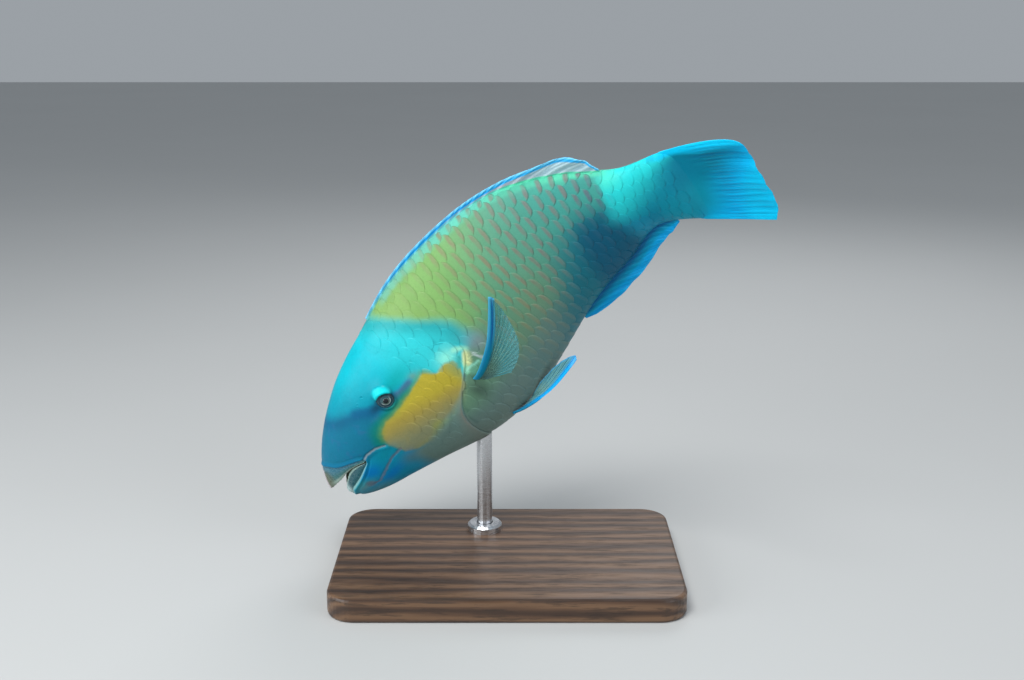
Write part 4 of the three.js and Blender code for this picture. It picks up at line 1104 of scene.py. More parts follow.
def build_beak(name, cut, upper, sgn):
    """One tooth plate, from under the lip to its cutting edge, with an inner face."""
    ns, nr = 70, 26
    s = np.linspace(0, 1, ns)
    cs = [c[0] for c in cut]
    ct, cy, cz = (curve(cs, [c[k] for c in cut])(s) for k in (1, 2, 3))
    deg = np.interp(s, [0, 1], [0, 84] if upper else [180, 88])
    lt, lf = lip_t(deg), np.radians(lip_phi(deg))
    ly, lz = section(lt, lf)
    lipP = at(lt, ly, lz) - body_normal(lt, lf) * ((0.02 + 0.93 * s)[:, None] if upper else (1.1 - 0.2 * s)[:, None]) * MM
    # runs in under the lip a little
    lipP = lipP + (at(lt + 0.012, ly, lz) - at(lt, ly, lz)) * 0.5
    cutP = at(ct, cy, cz)
    mid = at(np.full(ns, 0.09), np.zeros(ns), np.full(ns, 0.002))
    rr = np.linspace(0, 1, nr)[:, None]
    wave = 0.00012 * np.cos(s * ns * 1.45) * (1 - 0.5 * s)
    cutP = cutP + unit(cutP - lipP) * wave[:, None]
    front = lipP[None] * (1 - rr[..., None]) + cutP[None] * rr[..., None]
    outv = unit(front - mid[None])
    bulge = np.sin(pi * np.clip(rr * 0.92 + 0.05, 0, 1)) ** (0.50 if upper else 1.0) * ((1.62 - 0.92 * s) if upper else (1.25 - 0.55 * s))[None]
    front = front + outv * (bulge * MM)[..., None]
    # suture between the two plates
    front = front - outv * (0.22 * MM * np.exp(-(s / 0.020) ** 2))[None, :, None]
    # fine growth ridges along the plate
    front = front + outv * (0.03 * MM * np.sin(rr * 42) * (1 - rr))[..., None]
    thick = 0.9 - 0.45 * rr
    back = front - outv * (thick * MM)[..., None] * 1.2
    edge = (front[-1] + back[-1]) / 2 + unit(cutP - lipP) * 0.16 * MM
    G = np.concatenate([front, edge[None], back[::-1]])
    tone = np.concatenate([rr[:, 0], [1.05], rr[::-1, 0]])[:, None] * np.ones((1, ns))
    if sgn < 0:
        G = reflect(G)
    rows = G.shape[0]
    f, r, c = grid_faces(rows, ns, flip=(sgn > 0) != (not upper))
    f2 = np.array([[(rows - 1) * ns + i, (rows - 1) * ns + i + 1, i + 1, i] for i in range(ns - 1)])
    if (sgn > 0) != (not upper):
        f2 = f2[:, ::-1]
    u = np.stack([0.05 + 0.9 * r / (rows - 1), 0.05 + 0.9 * c / (ns - 1)], -1)
    u2 = np.full((len(f2), 4, 2), 0.01)
    u2[:, :, 1] = 0.05
    ob = new_mesh(name, G.reshape(-1, 3), [f], [u])
    S = s[None, :] * np.ones_like(tone)
    if upper:
        plate = mix(srgb(22, 98, 120), srgb(44, 110, 112), step(tone, 0.30, 0.70))
        plate = mix(plate, srgb(76, 84, 54), (1 - step(S + 0.10 * (1 - tone), 0.16, 0.34)) * step(tone, 0.12, 0.40))
        streak = 0.5 + 0.5 * np.sin(S * 64 + 2.0 * np.sin(tone * 5))
        plate = mix(plate, srgb(58, 66, 44), 0.5 * streak * step(tone, 0.25, 0.6) * (1 - step(S, 0.16, 0.30)))
        # painted highlight: pinkish white at the upper plate's front
        plate = mix(plate, srgb(206, 190, 198), 0.85 * (1 - step(S, 0.050, 0.105)) * step(tone, 0.10, 0.30))
        plate = mix(plate, srgb(160, 184, 172), 0.90 * step(tone, 0.74, 0.88) * step(S, 0.10, 0.30))
    else:
        plate = mix(srgb(4, 92, 104), srgb(12, 80, 92), step(tone, 0.3, 0.8))
        plate = mix(plate, srgb(158, 196, 190), 0.85 * (1 - step(tone, 0.08, 0.17)))
        plate = mix(plate, srgb(172, 206, 196), 0.9 * step(tone, 0.82, 0.93))
        plate = mix(plate, srgb(172, 206, 206), 0.95 * (1 - step(S, 0.15, 0.32)))
    # painted light: the inner face is painted pale to stand in for light caught by the plates' inner rims
    plate[nr + 1:] = srgb(196, 200, 168)              # the inner face, paler than the outer
    set_colour(ob, "paint", plate.reshape(-1, 3))
    ob.data.materials.append(BEAK)
    return ob


def beak_material():
    m, nt, bs = material("beak_plate")
    g = Nodes(nt)
    col = g.attr("paint", "Color")
    cells = g.voronoi(1400.0)
    col = g.mix(g.ramp(cells, [(0.1, 0.0), (0.8, 0.12)]), col, (0.5, 0.6, 0.6), "SCREEN")
    col = g.mix(g.ramp(g.noise(300.0, 4.0), [(0.4, 0.0), (0.8, 0.35)]), col, (0.45, 0.55, 0.5), "MULTIPLY")
    g.put(bs.inputs["Base Color"], col)
    g.put(bs.inputs["Roughness"], g.ramp(g.noise(500.0, 3.0), [(0.3, 0.22), (0.75, 0.4)]))
    g.put(bs.inputs["Normal"], g.bump(cells, 0.12, 0.0002))
    bs.inputs["Specular IOR Level"].default_value = 0.25
    bs.inputs["Coat Weight"].default_value = 0.12
    bs.inputs["Coat Roughness"].default_value = 0.15
    return m


BEAK = beak_material()
beaks_up = [build_beak("beak_upper_plate_left", UPPER_CUT, True, 1), build_beak("beak_upper_plate_right", UPPER_CUT, True, -1)]
beaks_low = [build_beak("beak_lower_plate_left", LOWER_CUT, False, 1), build_beak("beak_lower_plate_right", LOWER_CUT, False, -1)]


# ================================================================ eyes
def eye_material():
    m, nt, bs = material("eye_ball")
    g = Nodes(nt)
    r = g.attr("er")                      # millimetres from the eye's axis
    ec, es = g.attr("ec"), g.attr("es")   # cosine and sine of the angle round it
    vec = g.node("ShaderNodeCombineXYZ")
    g.put(vec.inputs[0], g.math("MULTIPLY", ec, 5.0))
    g.put(vec.inputs[1], g.math("MULTIPLY", es, 5.0))
    g.put(vec.inputs[2], g.math("MULTIPLY", r, 0.35))
    # 1 towards the throat and the tail, 0 towards the brow
    low = g.math("MULTIPLY_ADD", g.math("ADD", g.math("MULTIPLY", ec, -0.17), g.math("MULTIPLY", es, -0.98)), 0.5, 0.5)
    fib = g.noise(3.2, 4.0, 0.6, vec.outputs[0])
    iris = g.ramp(fib, [(0.3, (0.012, 0.050, 0.078)), (0.55, (0.026, 0.085, 0.105)), (0.75, (0.060, 0.135, 0.150))])
    rr = g.math("MULTIPLY", r, 0.2)
    iris = g.mix(g.math("MULTIPLY", g.ramp(rr, [(0.28, 0.9), (0.42, 0.0)]), low), iris, (0.13, 0.17, 0.115))
    # painted highlight: pale arcs on the iris's lower side, brightest towards throat and tail
    highlight_arc = g.math("MULTIPLY", g.ramp(rr, [(0.405, 0.0), (0.445, 1.0), (0.475, 0.9), (0.515, 0.0)]), g.ramp(low, [(0.34, 0.06), (0.70, 1.0)]))
    iris = g.mix(highlight_arc, iris, (0.42, 0.50, 0.47))
    inner = g.math("MULTIPLY", g.ramp(rr, [(0.265, 0.0), (0.285, 0.12), (0.310, 0.0)]), 1.0)
    iris = g.mix(inner, iris, (0.30, 0.36, 0.34))
    iris = g.mix(g.ramp(rr, [(0.52, 0.0), (0.58, 0.8), (0.68, 0.75), (0.74, 0.2)]), iris, (0.012, 0.035, 0.055))
    # painted highlight: a paler outer rim on the iris's lower side
    outer = g.math("MULTIPLY", g.ramp(rr, [(0.735, 0.0), (0.765, 0.8), (0.795, 0.0)]), g.math("MULTIPLY", g.ramp(low, [(0.55, 0.0), (0.85, 1.0)]), g.ramp(fib, [(0.42, 0.2), (0.6, 1.0)])))
    iris = g.mix(outer, iris, (0.25, 0.42, 0.50))
    iris = g.mix(g.ramp(rr, [(0.79, 0.0), (0.85, 0.85)]), iris, (0.008, 0.03, 0.045))
    pup = g.ramp(rr, [(0.255, 1.0), (0.280, 0.0)], "LINEAR")
    col = g.mix(pup, iris, (0.004, 0.008, 0.012))
    g.put(bs.inputs["Base Color"], col)
    bs.inputs["Roughness"].default_value = 0.22
    bs.inputs["Specular IOR Level"].default_value = 0.15
    bs.inputs["Coat Weight"].default_value = 0.40
    bs.inputs["Coat Roughness"].default_value = 0.04
    return m


EYE = eye_material()


def build_eye(name, sgn):
    """A ball with a flatter iris round a bulging lens, its axis across the head."""
    C, T, N, L = [np.asarray(v) for v in spine(np.array(EYE_T))]
    centre = C + L * (EYE_Y * SL) + N * (EYE_Z * SL)
    na, nb = 96, 72
    th = np.linspace(0, 2 * pi, na, endpoint=False)
    ph = np.linspace(0.02, pi - 0.02, nb)
    PH, TH = np.meshgrid(ph, th, indexing="ij")
    rho = EYE_R * np.sin(PH)
    h = EYE_R * np.cos(PH)
    mmr = rho / MM
    front = PH < pi / 2
    flat = -0.42 * MM * (1 - step(mmr, 3.2, 4.0)) * front
    lens = 0.50 * MM * (1 - step(mmr, 0.95, 1.55)) * front
    h = h + flat + lens
    P = centre + L * h[..., None] + (T * np.cos(TH)[..., None] + N * np.sin(TH)[..., None]) * rho[..., None]
    tips = np.array([centre + L * (EYE_R * cos(0.0) + 0.10 * MM), centre - L * EYE_R])
    if sgn < 0:
        P, tips = reflect(P), reflect(tips)
    f, r, c = grid_faces(nb, na, wrap=True, flip=(sgn > 0))
    j = np.arange(na)
    k = nb * na
    capA = np.stack([np.full(na, k), (j + 1) % na, j], -1)
    capB = np.stack([np.full(na, k + 1), (nb - 1) * na + j, (nb - 1) * na + (j + 1) % na], -1)
    if sgn > 0:
        capA, capB = capA[:, ::-1], capB[:, ::-1]
    ob = new_mesh(name, np.vstack([P.reshape(-1, 3), tips]), [f, capA, capB])
    set_float(ob, "er", np.concatenate([np.where(front, mmr, 6.2).ravel(), [0.0, 6.2]]))
    set_float(ob, "ec", np.concatenate([np.cos(TH).ravel(), [0.0, 0.0]]))
    set_float(ob, "es", np.concatenate([np.sin(TH).ravel(), [0.0, 0.0]]))
    ob.data.materials.append(EYE)
    return ob


eyes = [build_eye("eye_ball_left", 1), build_eye("eye_ball_right", -1)]


# ================================================================ fins
def slab(name, mid, normal, half, flip=False, extra=None):
    """A thin closed sheet: middle points, their normals and half thickness, as two faces and a rim."""
    rows, cols = half.shape
    A = mid + normal * half[..., None]
    B = mid - normal * half[..., None]
    fa, r, c = grid_faces(rows, cols, flip=flip)
    fb, r2, c2 = grid_faces(rows, cols, offset=rows * cols, flip=not flip)
    ring = ([(0, j) for j in range(cols)] + [(i, cols - 1) for i in range(1, rows)]
            + [(rows - 1, j) for j in range(cols - 2, -1, -1)] + [(i, 0) for i in range(rows - 2, 0, -1)])
    idx = np.array([i * cols + j for i, j in ring])
    nxt = np.roll(idx, -1)
    M = rows * cols
    rim = np.stack([idx, idx + M, nxt + M, nxt], -1)
    if flip:
        rim = rim[:, ::-1]
    ua = np.stack([0.01 + 0.47 * r / (rows - 1), 0.01 + 0.98 * c / (cols - 1)], -1)
    ub = np.stack([0.52 + 0.47 * r2 / (rows - 1), 0.01 + 0.98 * c2 / (cols - 1)], -1)
    k = np.arange(len(ring))
    q = (k / len(ring))[:, None]
    ur = np.stack([np.stack([np.full(len(k), 0.490), np.full(len(k), 0.510), np.full(len(k), 0.510), np.full(len(k), 0.490)], -1),
                   np.concatenate([q, q, q + 1 / len(ring), q + 1 / len(ring)], 1) * 0.98 + 0.01], -1)
    return new_mesh(name, np.concatenate([A.reshape(-1, 3), B.reshape(-1, 3)]), [fa, fb, rim], [ua, ub, ur])


def sheet_normal(P):
    a = np.gradient(P, axis=0)
    b = np.gradient(P, axis=1)
    return unit(np.cross(a, b))


def ray_profile(x, width):
    """1 on a ray, 0 between: x is the place in ray spacings."""
    d = np.abs(x - np.round(x))
    return np.exp(-(d / width) ** 2)


# caudal fin
CAUDAL_TOP = curve([0.88, 0.9226, 0.9591, 0.9951, 1.0291, 1.0527, 1.0978, 1.1409, 1.170, 1.20],
                   [0.0800, 0.0778, 0.0816, 0.0848, 0.0866, 0.0884, 0.0903, 0.0895, 0.0850, 0.0780])
CAUDAL_LOW = curve([0.88, 0.9200, 0.9500, 0.9703, 0.9909, 1.0333, 1.0768, 1.1208, 1.1601, 1.20],
                   [-0.0760, -0.0700, -0.0709, -0.0767, -0.0815, -0.0900, -0.0960, -0.0996, -0.1015, -0.1030])
CAUDAL_REAR = curve([0, 0.17, 0.34, 0.50, 0.65, 0.77, 0.85, 0.92, 0.965, 1.0],
                    [1.1590, 1.1758, 1.1812, 1.1826, 1.1826, 1.1822, 1.1820, 1.1815, 1.1760, 1.1650])


def build_caudal():
    na, nb = 360, 130
    w = np.linspace(0, 1, na)[:, None] * np.ones((1, nb))
    u = w * 2 - 1
    b = np.linspace(0, 1, nb)[None, :] * np.ones((na, 1))
    # rays: thirteen main ones, branching twice, crowded towards the fin's edges
    N = 13
    x = w * N - 0.5
    r1 = ray_profile(x, 0.24)
    r2, r4 = ray_profile(w * N * 2 - 0.5, 0.27), ray_profile(w * N * 4 - 0.5, 0.30)
    w2, w4 = step(b, 0.42, 0.52), step(b, 0.66, 0.76)
    ray = r1 * (1 - w2) + r2 * w2 * (1 - 0.5 * w4) + 0.5 * r4 * w4
    start = 0.955 + 0.040 * (1 - np.abs(u) ** 3)
    rear = CAUDAL_REAR(w) + 0.0010 * noise(np.stack([w * 9, w * 0, w * 0], -1), 1, 43) + 0.0006 * (ray_profile(x, 0.33) - 0.5)
    t = start + (rear - start) * b
    lo, hi = CAUDAL_LOW(t), CAUDAL_TOP(t)
    z = lo + (hi - lo) * (0.5 + (w - 0.5) * (0.90 + 0.10 * step(b, 0.0, 0.28)))
    # a little waviness across the fin
    y = (0.0016 * np.sin(u * 5.2 + 1.0) + 0.0010 * np.sin(u * 15 + b * 3)) * step(b, 0.35, 1.0)
    P = at(t, y, z)
    seg = 0.5 + 0.5 * np.cos(b * 2 * pi * 46)
    half = (0.14 + (0.32 - 0.18 * b) * (0.5 + (ray - 0.5) * step(b, 0.25, 0.60)) * (0.90 + 0.10 * seg)) * MM
    half = half + 0.55 * MM * (1 - step(b, 0.0, 0.32))
    half = half * (1 - 0.55 * step(b, 0.95, 1.0)) * (1 - 0.45 * step(np.abs(u), 0.985, 1.0))
    ob = slab("fin_caudal", P, sheet_normal(P), half)
    base = np.broadcast_to(TURQUOISE_DEEP, P.shape)
    base = mix(base, TURQUOISE, 0.8 * step(z, 0.02, 0.06) * (1 - step(t, 0.96, 1.0)))
    col = tail_paint(base, P, t, z)
    n = noise(P, 110, 44)
    lane = noise(np.stack([np.round(x) * 3.7, b * 2.2, x * 0], -1), 1, 45)
    gap = (1 - ray_profile(x + 0.12 * n, 0.34)) * step(b, 0.26, 0.50) * step(lane, -0.7, 0.5)
    fine = (1 - ray_profile(w * N * 2 - 0.5, 0.30)) * step(b, 0.45, 0.62) * step(n, -0.6, 0.6)
    col = mix(col, srgb(2, 84, 132), np.clip(0.46 * gap + 0.16 * fine, 0, 1) * (1 - 0.55 * step(b, 0.86, 1.0)) * (1 - step(w, 0.91, 0.96)))
    set_colour(ob, "paint", np.concatenate([col.reshape(-1, 3)] * 2))
    shown = 1 - 0.45 * (1 - ray) * step(b, 0.35, 0.62)
    set_float(ob, "ray", np.concatenate([shown.ravel()] * 2))
    ob.data.materials.append(FIN)
    return ob


DORSAL_T = [0.335, 0.40, 0.47, 0.60, 0.68, 0.74, 0.79, 0.835, 0.858, 0.872]
DORSAL_H = [0.5, 1.3, 2.0, 2.6, 3.2, 5.0, 7.7, 9.7, 7.6, 1.0]
ANAL_T = [0.622, 0.65, 0.70, 0.79, 0.87, 0.915, 0.945]
ANAL_H = [0.8, 5.0, 8.6, 9.2, 8.6, 6.0, 1.0]


def build_median(name, ts, hs, line, sgn, spines, rays, paint, tall=1.0):
    """A folded fin along the back or the belly: rays lie far back."""
    na, nb = 420, 34
    hh = curve(ts, hs)
    t = np.linspace(ts[0], ts[-1], na)[:, None] * np.ones((1, nb))
    b = np.linspace(0, 1, nb)[None, :] * np.ones((na, 1))
    h = np.maximum(0.5, hh(t) * tall) * MM
    # where each point's ray starts: rays lean back, more where the fin is low
    root = t - (b * h * 2.6) / SL
    count = spines + rays
    x = (root - ts[0]) / (ts[-1] - 0.02 - ts[0]) * count
    ray = ray_profile(x, 0.20)
    soft = step(x, spines - 0.5, spines + 0.5)
    fine = ray_profile(x * 2, 0.25)
    ray = ray * (1 - soft * step(b, 0.5, 0.7)) + fine * soft * step(b, 0.5, 0.7)
    low = 1.2 * MM
    z = line(t) + sgn * (-low + b * (h + low + (0.35 * MM))) / SL
    y = (0.0022 * np.sin(x * pi * 0.9) * b * step(h, 2 * MM, 6 * MM))
    P = at(t, y, z)
    half = (0.15 + (0.32 - 0.12 * b) * ray) * MM + 0.5 * MM * (1 - step(b, 0.0, 0.30))
    half = half * (1 - 0.5 * step(b, 0.93, 1.0))
    ob = slab(name, P, sheet_normal(P), half)
    col = paint(P, t, b, h, ray, x)
    set_colour(ob, "paint", np.concatenate([col.reshape(-1, 3)] * 2))
    set_float(ob, "ray", np.concatenate([ray.ravel()] * 2))
    ob.data.materials.append(FIN)
    return ob


def dorsal_paint(P, t, b, h, ray, x):
    out = (1 - b) * (h + 1.55 * MM) / MM              # millimetres in from the fin's edge
    inner = mix(srgb(166, 182, 198), srgb(192, 186, 194), noise(P, 160, 21) * 0.5 + 0.5)
    inner = mix(inner, srgb(172, 206, 212), 0.8 * step(t, 0.72, 0.80))
    inner = mix(srgb(92, 182, 216), inner, step(t, 0.52, 0.72))
    wide = 0.9 * (1 - step(t, 0.46, 0.60)) + 0.45 * step(t, 0.58, 0.66) + 0.5 * step(t, 0.81, 0.85)
    col = mix(inner, mix(srgb(14, 152, 228), srgb(48, 172, 232), step(t, 0.60, 0.75)), 1 - step(out, 1.2 + wide, 2.0 + wide))
    col = mix(col, srgb(128, 214, 248), 0.8 * (1 - step(out, 0.45, 1.1)))
    low = b * (h + 1.55 * MM) / MM
    col = mix(col, mix(srgb(120, 200, 204), MINT, step(t, 0.60, 0.74)), 1 - step(low, 1.30, 1.9))
    return mix(col, col * 0.75, 0.3 * (1 - ray))


def anal_paint(P, t, b, h, ray, x):
    col = mix(srgb(8, 142, 178), srgb(6, 150, 192), noise(P, 150, 23) * 0.5 + 0.5)
    col = mix(col, srgb(8, 170, 218), step(b, 0.45, 0.75))
    col = mix(col, srgb(50, 196, 240), 0.7 * step(b, 0.86, 0.97))
    col = mix(col, srgb(4, 152, 230), 0.5 * step(b, 0.45, 0.80))
    col = mix(col, srgb(16, 98, 146), 1 - step(b, 0.14, 0.50))
    return mix(col, col * 0.75, 0.15 * (1 - ray))


PECTORAL_BASE = [[0.3920, 0.0935, -0.0428], [0.3975, 0.0920, -0.0515], [0.4005, 0.0905, -0.0580]]
PECTORAL_TIPS = [[0.5764, 0.170, 0.0803], [0.5766, 0.168, 0.0598], [0.5602, 0.160, 0.0180], [0.5344, 0.150, -0.0268], [0.4988, 0.138, -0.0592], [0.4560, 0.120, -0.0790]]
PECTORAL_BOW = (0.0055, 0.012, -0.0085)
PELVIC_BASE = [[t, y, float(underside_at(np.array(t), np.array(y))) - 1.0 * MM / SL] for t, y in ((0.3712, 0.0440), (0.3840, 0.0385), (0.3960, 0.0320))]
PELVIC_TIPS = [[0.5545, 0.066, -0.1860], [0.5590, 0.064, -0.1780], [0.5434, 0.062, -0.1715], [0.5235, 0.059, -0.1680], [0.4961, 0.055, -0.1675], [0.4584, 0.049, -0.1710]]


def along(pts):
    us = np.arange(len(pts)) / (len(pts) - 1)
    return lambda u: [curve(us, [p[k] for p in pts])(u) for k in range(3)]


def fan(base, tips, bow, a, b):
    p, q = along(base)(a), along(tips)(a)
    k = np.sin(pi * np.clip(b, 0, 1) ** 0.8) * (1 - a)
    return (p[0] + (q[0] - p[0]) * b + bow[0] * k, p[1] + (q[1] - p[1]) * b + bow[1] * k, p[2] + (q[2] - p[2]) * b + bow[2] * k)


def pectoral_rays(name, sgn):
    """Blue leading ray and fourteen branching rays behind it, each a tapering rod."""
    parts_v, parts_f, parts_u, cols, rays, n0 = [], [], [], [], [], 0
    count = 13
    ks, ns = 8, 46
    strands = []
    for k, r in enumerate((0.62, 0.62, 0.60, 0.56, 0.50, 0.44)):
        strands.append((0.036 * k, 0.012 * k, 0.0, 1.0, r, True))
    for i in range(1, count):
        a = 0.10 + 0.90 * i / (count - 1)
        if a > 0.18:
            strands.append((a, a, 0.0, 0.46, 0.22, False))
            d = 0.26 / count
            strands.append((a, a - d, 0.44, 0.985, 0.16, False))
            strands.append((a, min(1.0, a + d), 0.44, 0.985, 0.16, False))
    b_all = np.linspace(0, 1, ns)
    cells = int(np.ceil(np.sqrt(len(strands))))
    for si, (a0, a1, b0, b1, rad, lead) in enumerate(strands):
        b = b0 + (b1 - b0) * b_all
        a = a1 * np.ones_like(b) if lead else np.clip(a0 + (a1 - a0) * smooth((b - b0) / 0.35), 0, 1)
        t, y, z = fan(PECTORAL_BASE, PECTORAL_TIPS, PECTORAL_BOW, a, np.maximum(b, -0.02))
        inward = 0.5 * (1 - step(b, 0.0, 0.08))
        P = at(t, y - inward * 1.0 * MM / SL, z)
        # round section, flattened towards the tip
        tan = unit(np.gradient(P, axis=0))
        e = 0.01
        t2, y2, z2 = fan(PECTORAL_BASE, PECTORAL_TIPS, PECTORAL_BOW, np.clip(a + (e if i < count else -e), 0, 1), np.maximum(b, 0))
        t3, y3, z3 = fan(PECTORAL_BASE, PECTORAL_TIPS, PECTORAL_BOW, np.clip(a - e, 0, 1), np.maximum(b, 0))
        across = at(t2, y2, z2) - at(t3, y3, z3)
        across = unit(across - tan * (across * tan).sum(-1, keepdims=True))
        nrm = unit(np.cross(tan, across))
        if lead:                                  # the blade's rods lie side by side
            turn = 1.0 if ((at(*fan(PECTORAL_BASE, PECTORAL_TIPS, PECTORAL_BOW, a + 0.05, np.maximum(b, 0.02))) - P) * across).sum() > 0 else -1.0
            P = P + across * (turn * (a0 / 0.036 - 1.8) * 0.62 * MM * (0.62 + 0.38 * step(b, 0.0, 0.30)) * (1 - 0.45 * step(b, 0.20, 0.55)) * (1 - 0.65 * step(b, 0.62, 1.0)))[:, None]
        taper = (1 - 0.62 * b) * (1 if not lead else 1.0)
        wide = rad * (1.0 + (0.75 if lead else 0.0)) * (1 - (0.30 if lead else 0.5) * b)
        thick = rad * taper * 0.8
        ang = np.linspace(0, 2 * pi, ks, endpoint=False)
        ring = (P[:, None] + across[:, None] * (np.cos(ang)[None, :, None] * wide[:, None, None] * MM)
                + nrm[:, None] * (np.sin(ang)[None, :, None] * thick[:, None, None] * MM))
        f, r, c = grid_faces(ns, ks, wrap=True, offset=n0)
        if sgn < 0:
            ring = reflect_at(np.broadcast_to(t[:, None], ring.shape[:2]), ring)
            f, r, c = f[:, ::-1], r[:, ::-1], c[:, ::-1]
        parts_v.append(ring.reshape(-1, 3))
        parts_f.append(f)
        cx, cyy = (si % cells) / cells, (si // cells) / cells
        parts_u.append(np.stack([cx + 0.02 / cells + 0.96 / cells * r / (ns - 1), cyy + 0.02 / cells + 0.96 / cells * c / ks], -1))
        if lead:
            one = np.ones((ns, ks))
            k = int(round(a0 / 0.036))
            near_root = (srgb(44, 152, 192), srgb(10, 134, 180), srgb(6, 134, 172), srgb(6, 128, 160), srgb(8, 120, 146), srgb(22, 120, 136))[k]
            far = (srgb(66, 162, 198), srgb(24, 138, 186), srgb(14, 102, 158), srgb(24, 94, 150), srgb(44, 148, 190), srgb(70, 158, 186))[k]
            cc = mix(near_root, far, step(b, 0.30, 0.62)[:, None] * one)
            cc = mix(cc, srgb(90, 166, 190), 0.4 * step(b, 0.90, 0.99)[:, None] * one)
        else:
            cc = mix(srgb(74, 112, 110), srgb(64, 150, 160), step(b, 0.25, 0.6)[:, None] * np.ones((1, ks)))
            cc = mix(cc, srgb(6, 74, 96), 0.8 * (1 - step(np.array(a0), 0.05, 0.40)) * np.ones((ns, ks)))
        cols.append(cc.reshape(-1, 3))
        rays.append(np.ones(ns * ks))
        n0 += ns * ks
        # tip cap
        tip = ring[-1].mean(0)[None]
        parts_v.append(tip)
        cols.append(cc[-1:, 0])
        rays.append(np.ones(1))
        cap = np.stack([np.full(ks, n0), n0 - ks + np.arange(ks), n0 - ks + (np.arange(ks) + 1) % ks], -1)
        if sgn < 0:
            cap = cap[:, ::-1]
        parts_f.append(cap)
        parts_u.append(np.full((ks, 3, 2), 0.0) + [[cx + 0.985 / cells, cyy + 0.5 / cells]])
        n0 += 1
    quads = [f for f in parts_f if f.shape[1] == 4]
    tris = [f for f in parts_f if f.shape[1] == 3]
    uq = [u for f, u in zip(parts_f, parts_u) if f.shape[1] == 4]
    ut = [u for f, u in zip(parts_f, parts_u) if f.shape[1] == 3]
    ob = new_mesh(name, np.vstack(parts_v), [np.vstack(quads), np.vstack(tris)], [np.concatenate(uq), np.concatenate(ut)])
    set_colour(ob, "paint", np.vstack(cols))
    set_float(ob, "ray", np.concatenate(rays))
    ob.data.materials.append(FIN)
    return ob


def pectoral_membrane(name, sgn):
    na, nb = 90, 60
    a = np.linspace(0.0, 1, na)[:, None] * np.ones((1, nb))
    b = np.linspace(0.01, 0.985, nb)[None, :] * np.ones((na, 1))
    t, y, z = fan(PECTORAL_BASE, PECTORAL_TIPS, PECTORAL_BOW, a, b)
    scallop = 0.02 * (ray_profile(a * 14 / 1.0, 0.3) - 0.5) * step(b, 0.85, 1.0)
    t = t + scallop * 0.02
    y = y + 0.0010 * np.sin(a * 14 * 2 * pi) * step(b, 0.1, 0.5)
    P = at(t, y, z)
    if sgn < 0:
        P = reflect_at(t, P)
    half = np.full((na, nb), 0.06 * MM)
    ob = slab(name, P, sheet_normal(P), half, flip=(sgn < 0))
    col = mix(srgb(30, 116, 130), srgb(98, 176, 186), step(a, 0.05, 0.50))
    col = mix(col, srgb(96, 136, 122), (1 - step(b, 0.15, 0.55)) * step(a, 0.1, 0.4))
    set_colour(ob, "paint", np.concatenate([col.reshape(-1, 3)] * 2))
    set_float(ob, "ray", np.ones(na * nb * 2))
    ob.data.materials.append(MEMBRANE)
    return ob


def build_pelvic(name, sgn):
    na, nb = 120, 80
    a = np.linspace(0, 1, na)[:, None] * np.ones((1, nb))
    b = np.linspace(-0.02, 1, nb)[None, :] * np.ones((na, 1))
    t, y, z = fan(PELVIC_BASE, PELVIC_TIPS, (0, 0.006, -0.0150), a, b)
    x = a * 5.0
    r1, r2 = ray_profile(x, 0.16), ray_profile(x * 2, 0.2)
    w2 = step(b, 0.35, 0.5)
    ray = r1 * (1 - w2) + r2 * w2
    ray = np.maximum(ray, 1 - step(a, 0.04, 0.09))
    y = y + 0.0006 * np.sin(a * 5 * 2 * pi) * step(b, 0.2, 0.6)
    P = at(t, y, z)
    if sgn < 0:
        P = reflect_at(t, P)
    half = (0.16 + (0.34 - 0.16 * b) * ray + 0.18 * (1 - step(a, 0.0, 0.08))) * MM * (1 - 0.5 * step(b, 0.93, 1.0))
    ob = slab(name, P, sheet_normal(P), half, flip=(sgn < 0))
    inner = mix(srgb(122, 164, 148), srgb(92, 160, 168), noise(P, 150, 31) * 0.5 + 0.5)
    lead = 1 - step(a + 0.03 * noise(P, 200, 32) - 0.03 * step(b, 0.5, 1.0) - 0.22 * (1 - step(b, 0.05, 0.42)), 0.13, 0.29)
    blue = mix(srgb(30, 146, 190), srgb(16, 172, 240), step(b, 0.05, 0.40))
    blue = mix(blue, srgb(90, 184, 248), step(b, 0.80, 0.97))
    col = mix(inner, blue, lead)
    col = mix(col, srgb(70, 176, 236), 0.6 * step(b, 0.92, 0.99))
    col = mix(col, srgb(60, 150, 190), 0.5 * ray * (1 - lead))
    set_colour(ob, "paint", np.concatenate([col.reshape(-1, 3)] * 2))
    set_float(ob, "ray", np.concatenate([ray.ravel()] * 2))
    ob.data.materials.append(FIN)
    return ob


caudal = build_caudal()
dorsal = build_median("fin_dorsal", DORSAL_T, DORSAL_H, back_at, 1, 9, 10, dorsal_paint, 0.88)
anal = build_median("fin_anal", ANAL_T, ANAL_H, belly_at, -1, 3, 9, anal_paint)
pec_l = [pectoral_rays("fin_pectoral_rays_left", 1), pectoral_membrane("fin_pectoral_web_left", 1)]
pec_r = [pectoral_rays("fin_pectoral_rays_right", -1), pectoral_membrane("fin_pectoral_web_right", -1)]
pel_l, pel_r = build_pelvic("fin_pelvic_left", 1), build_pelvic("fin_pelvic_right", -1)


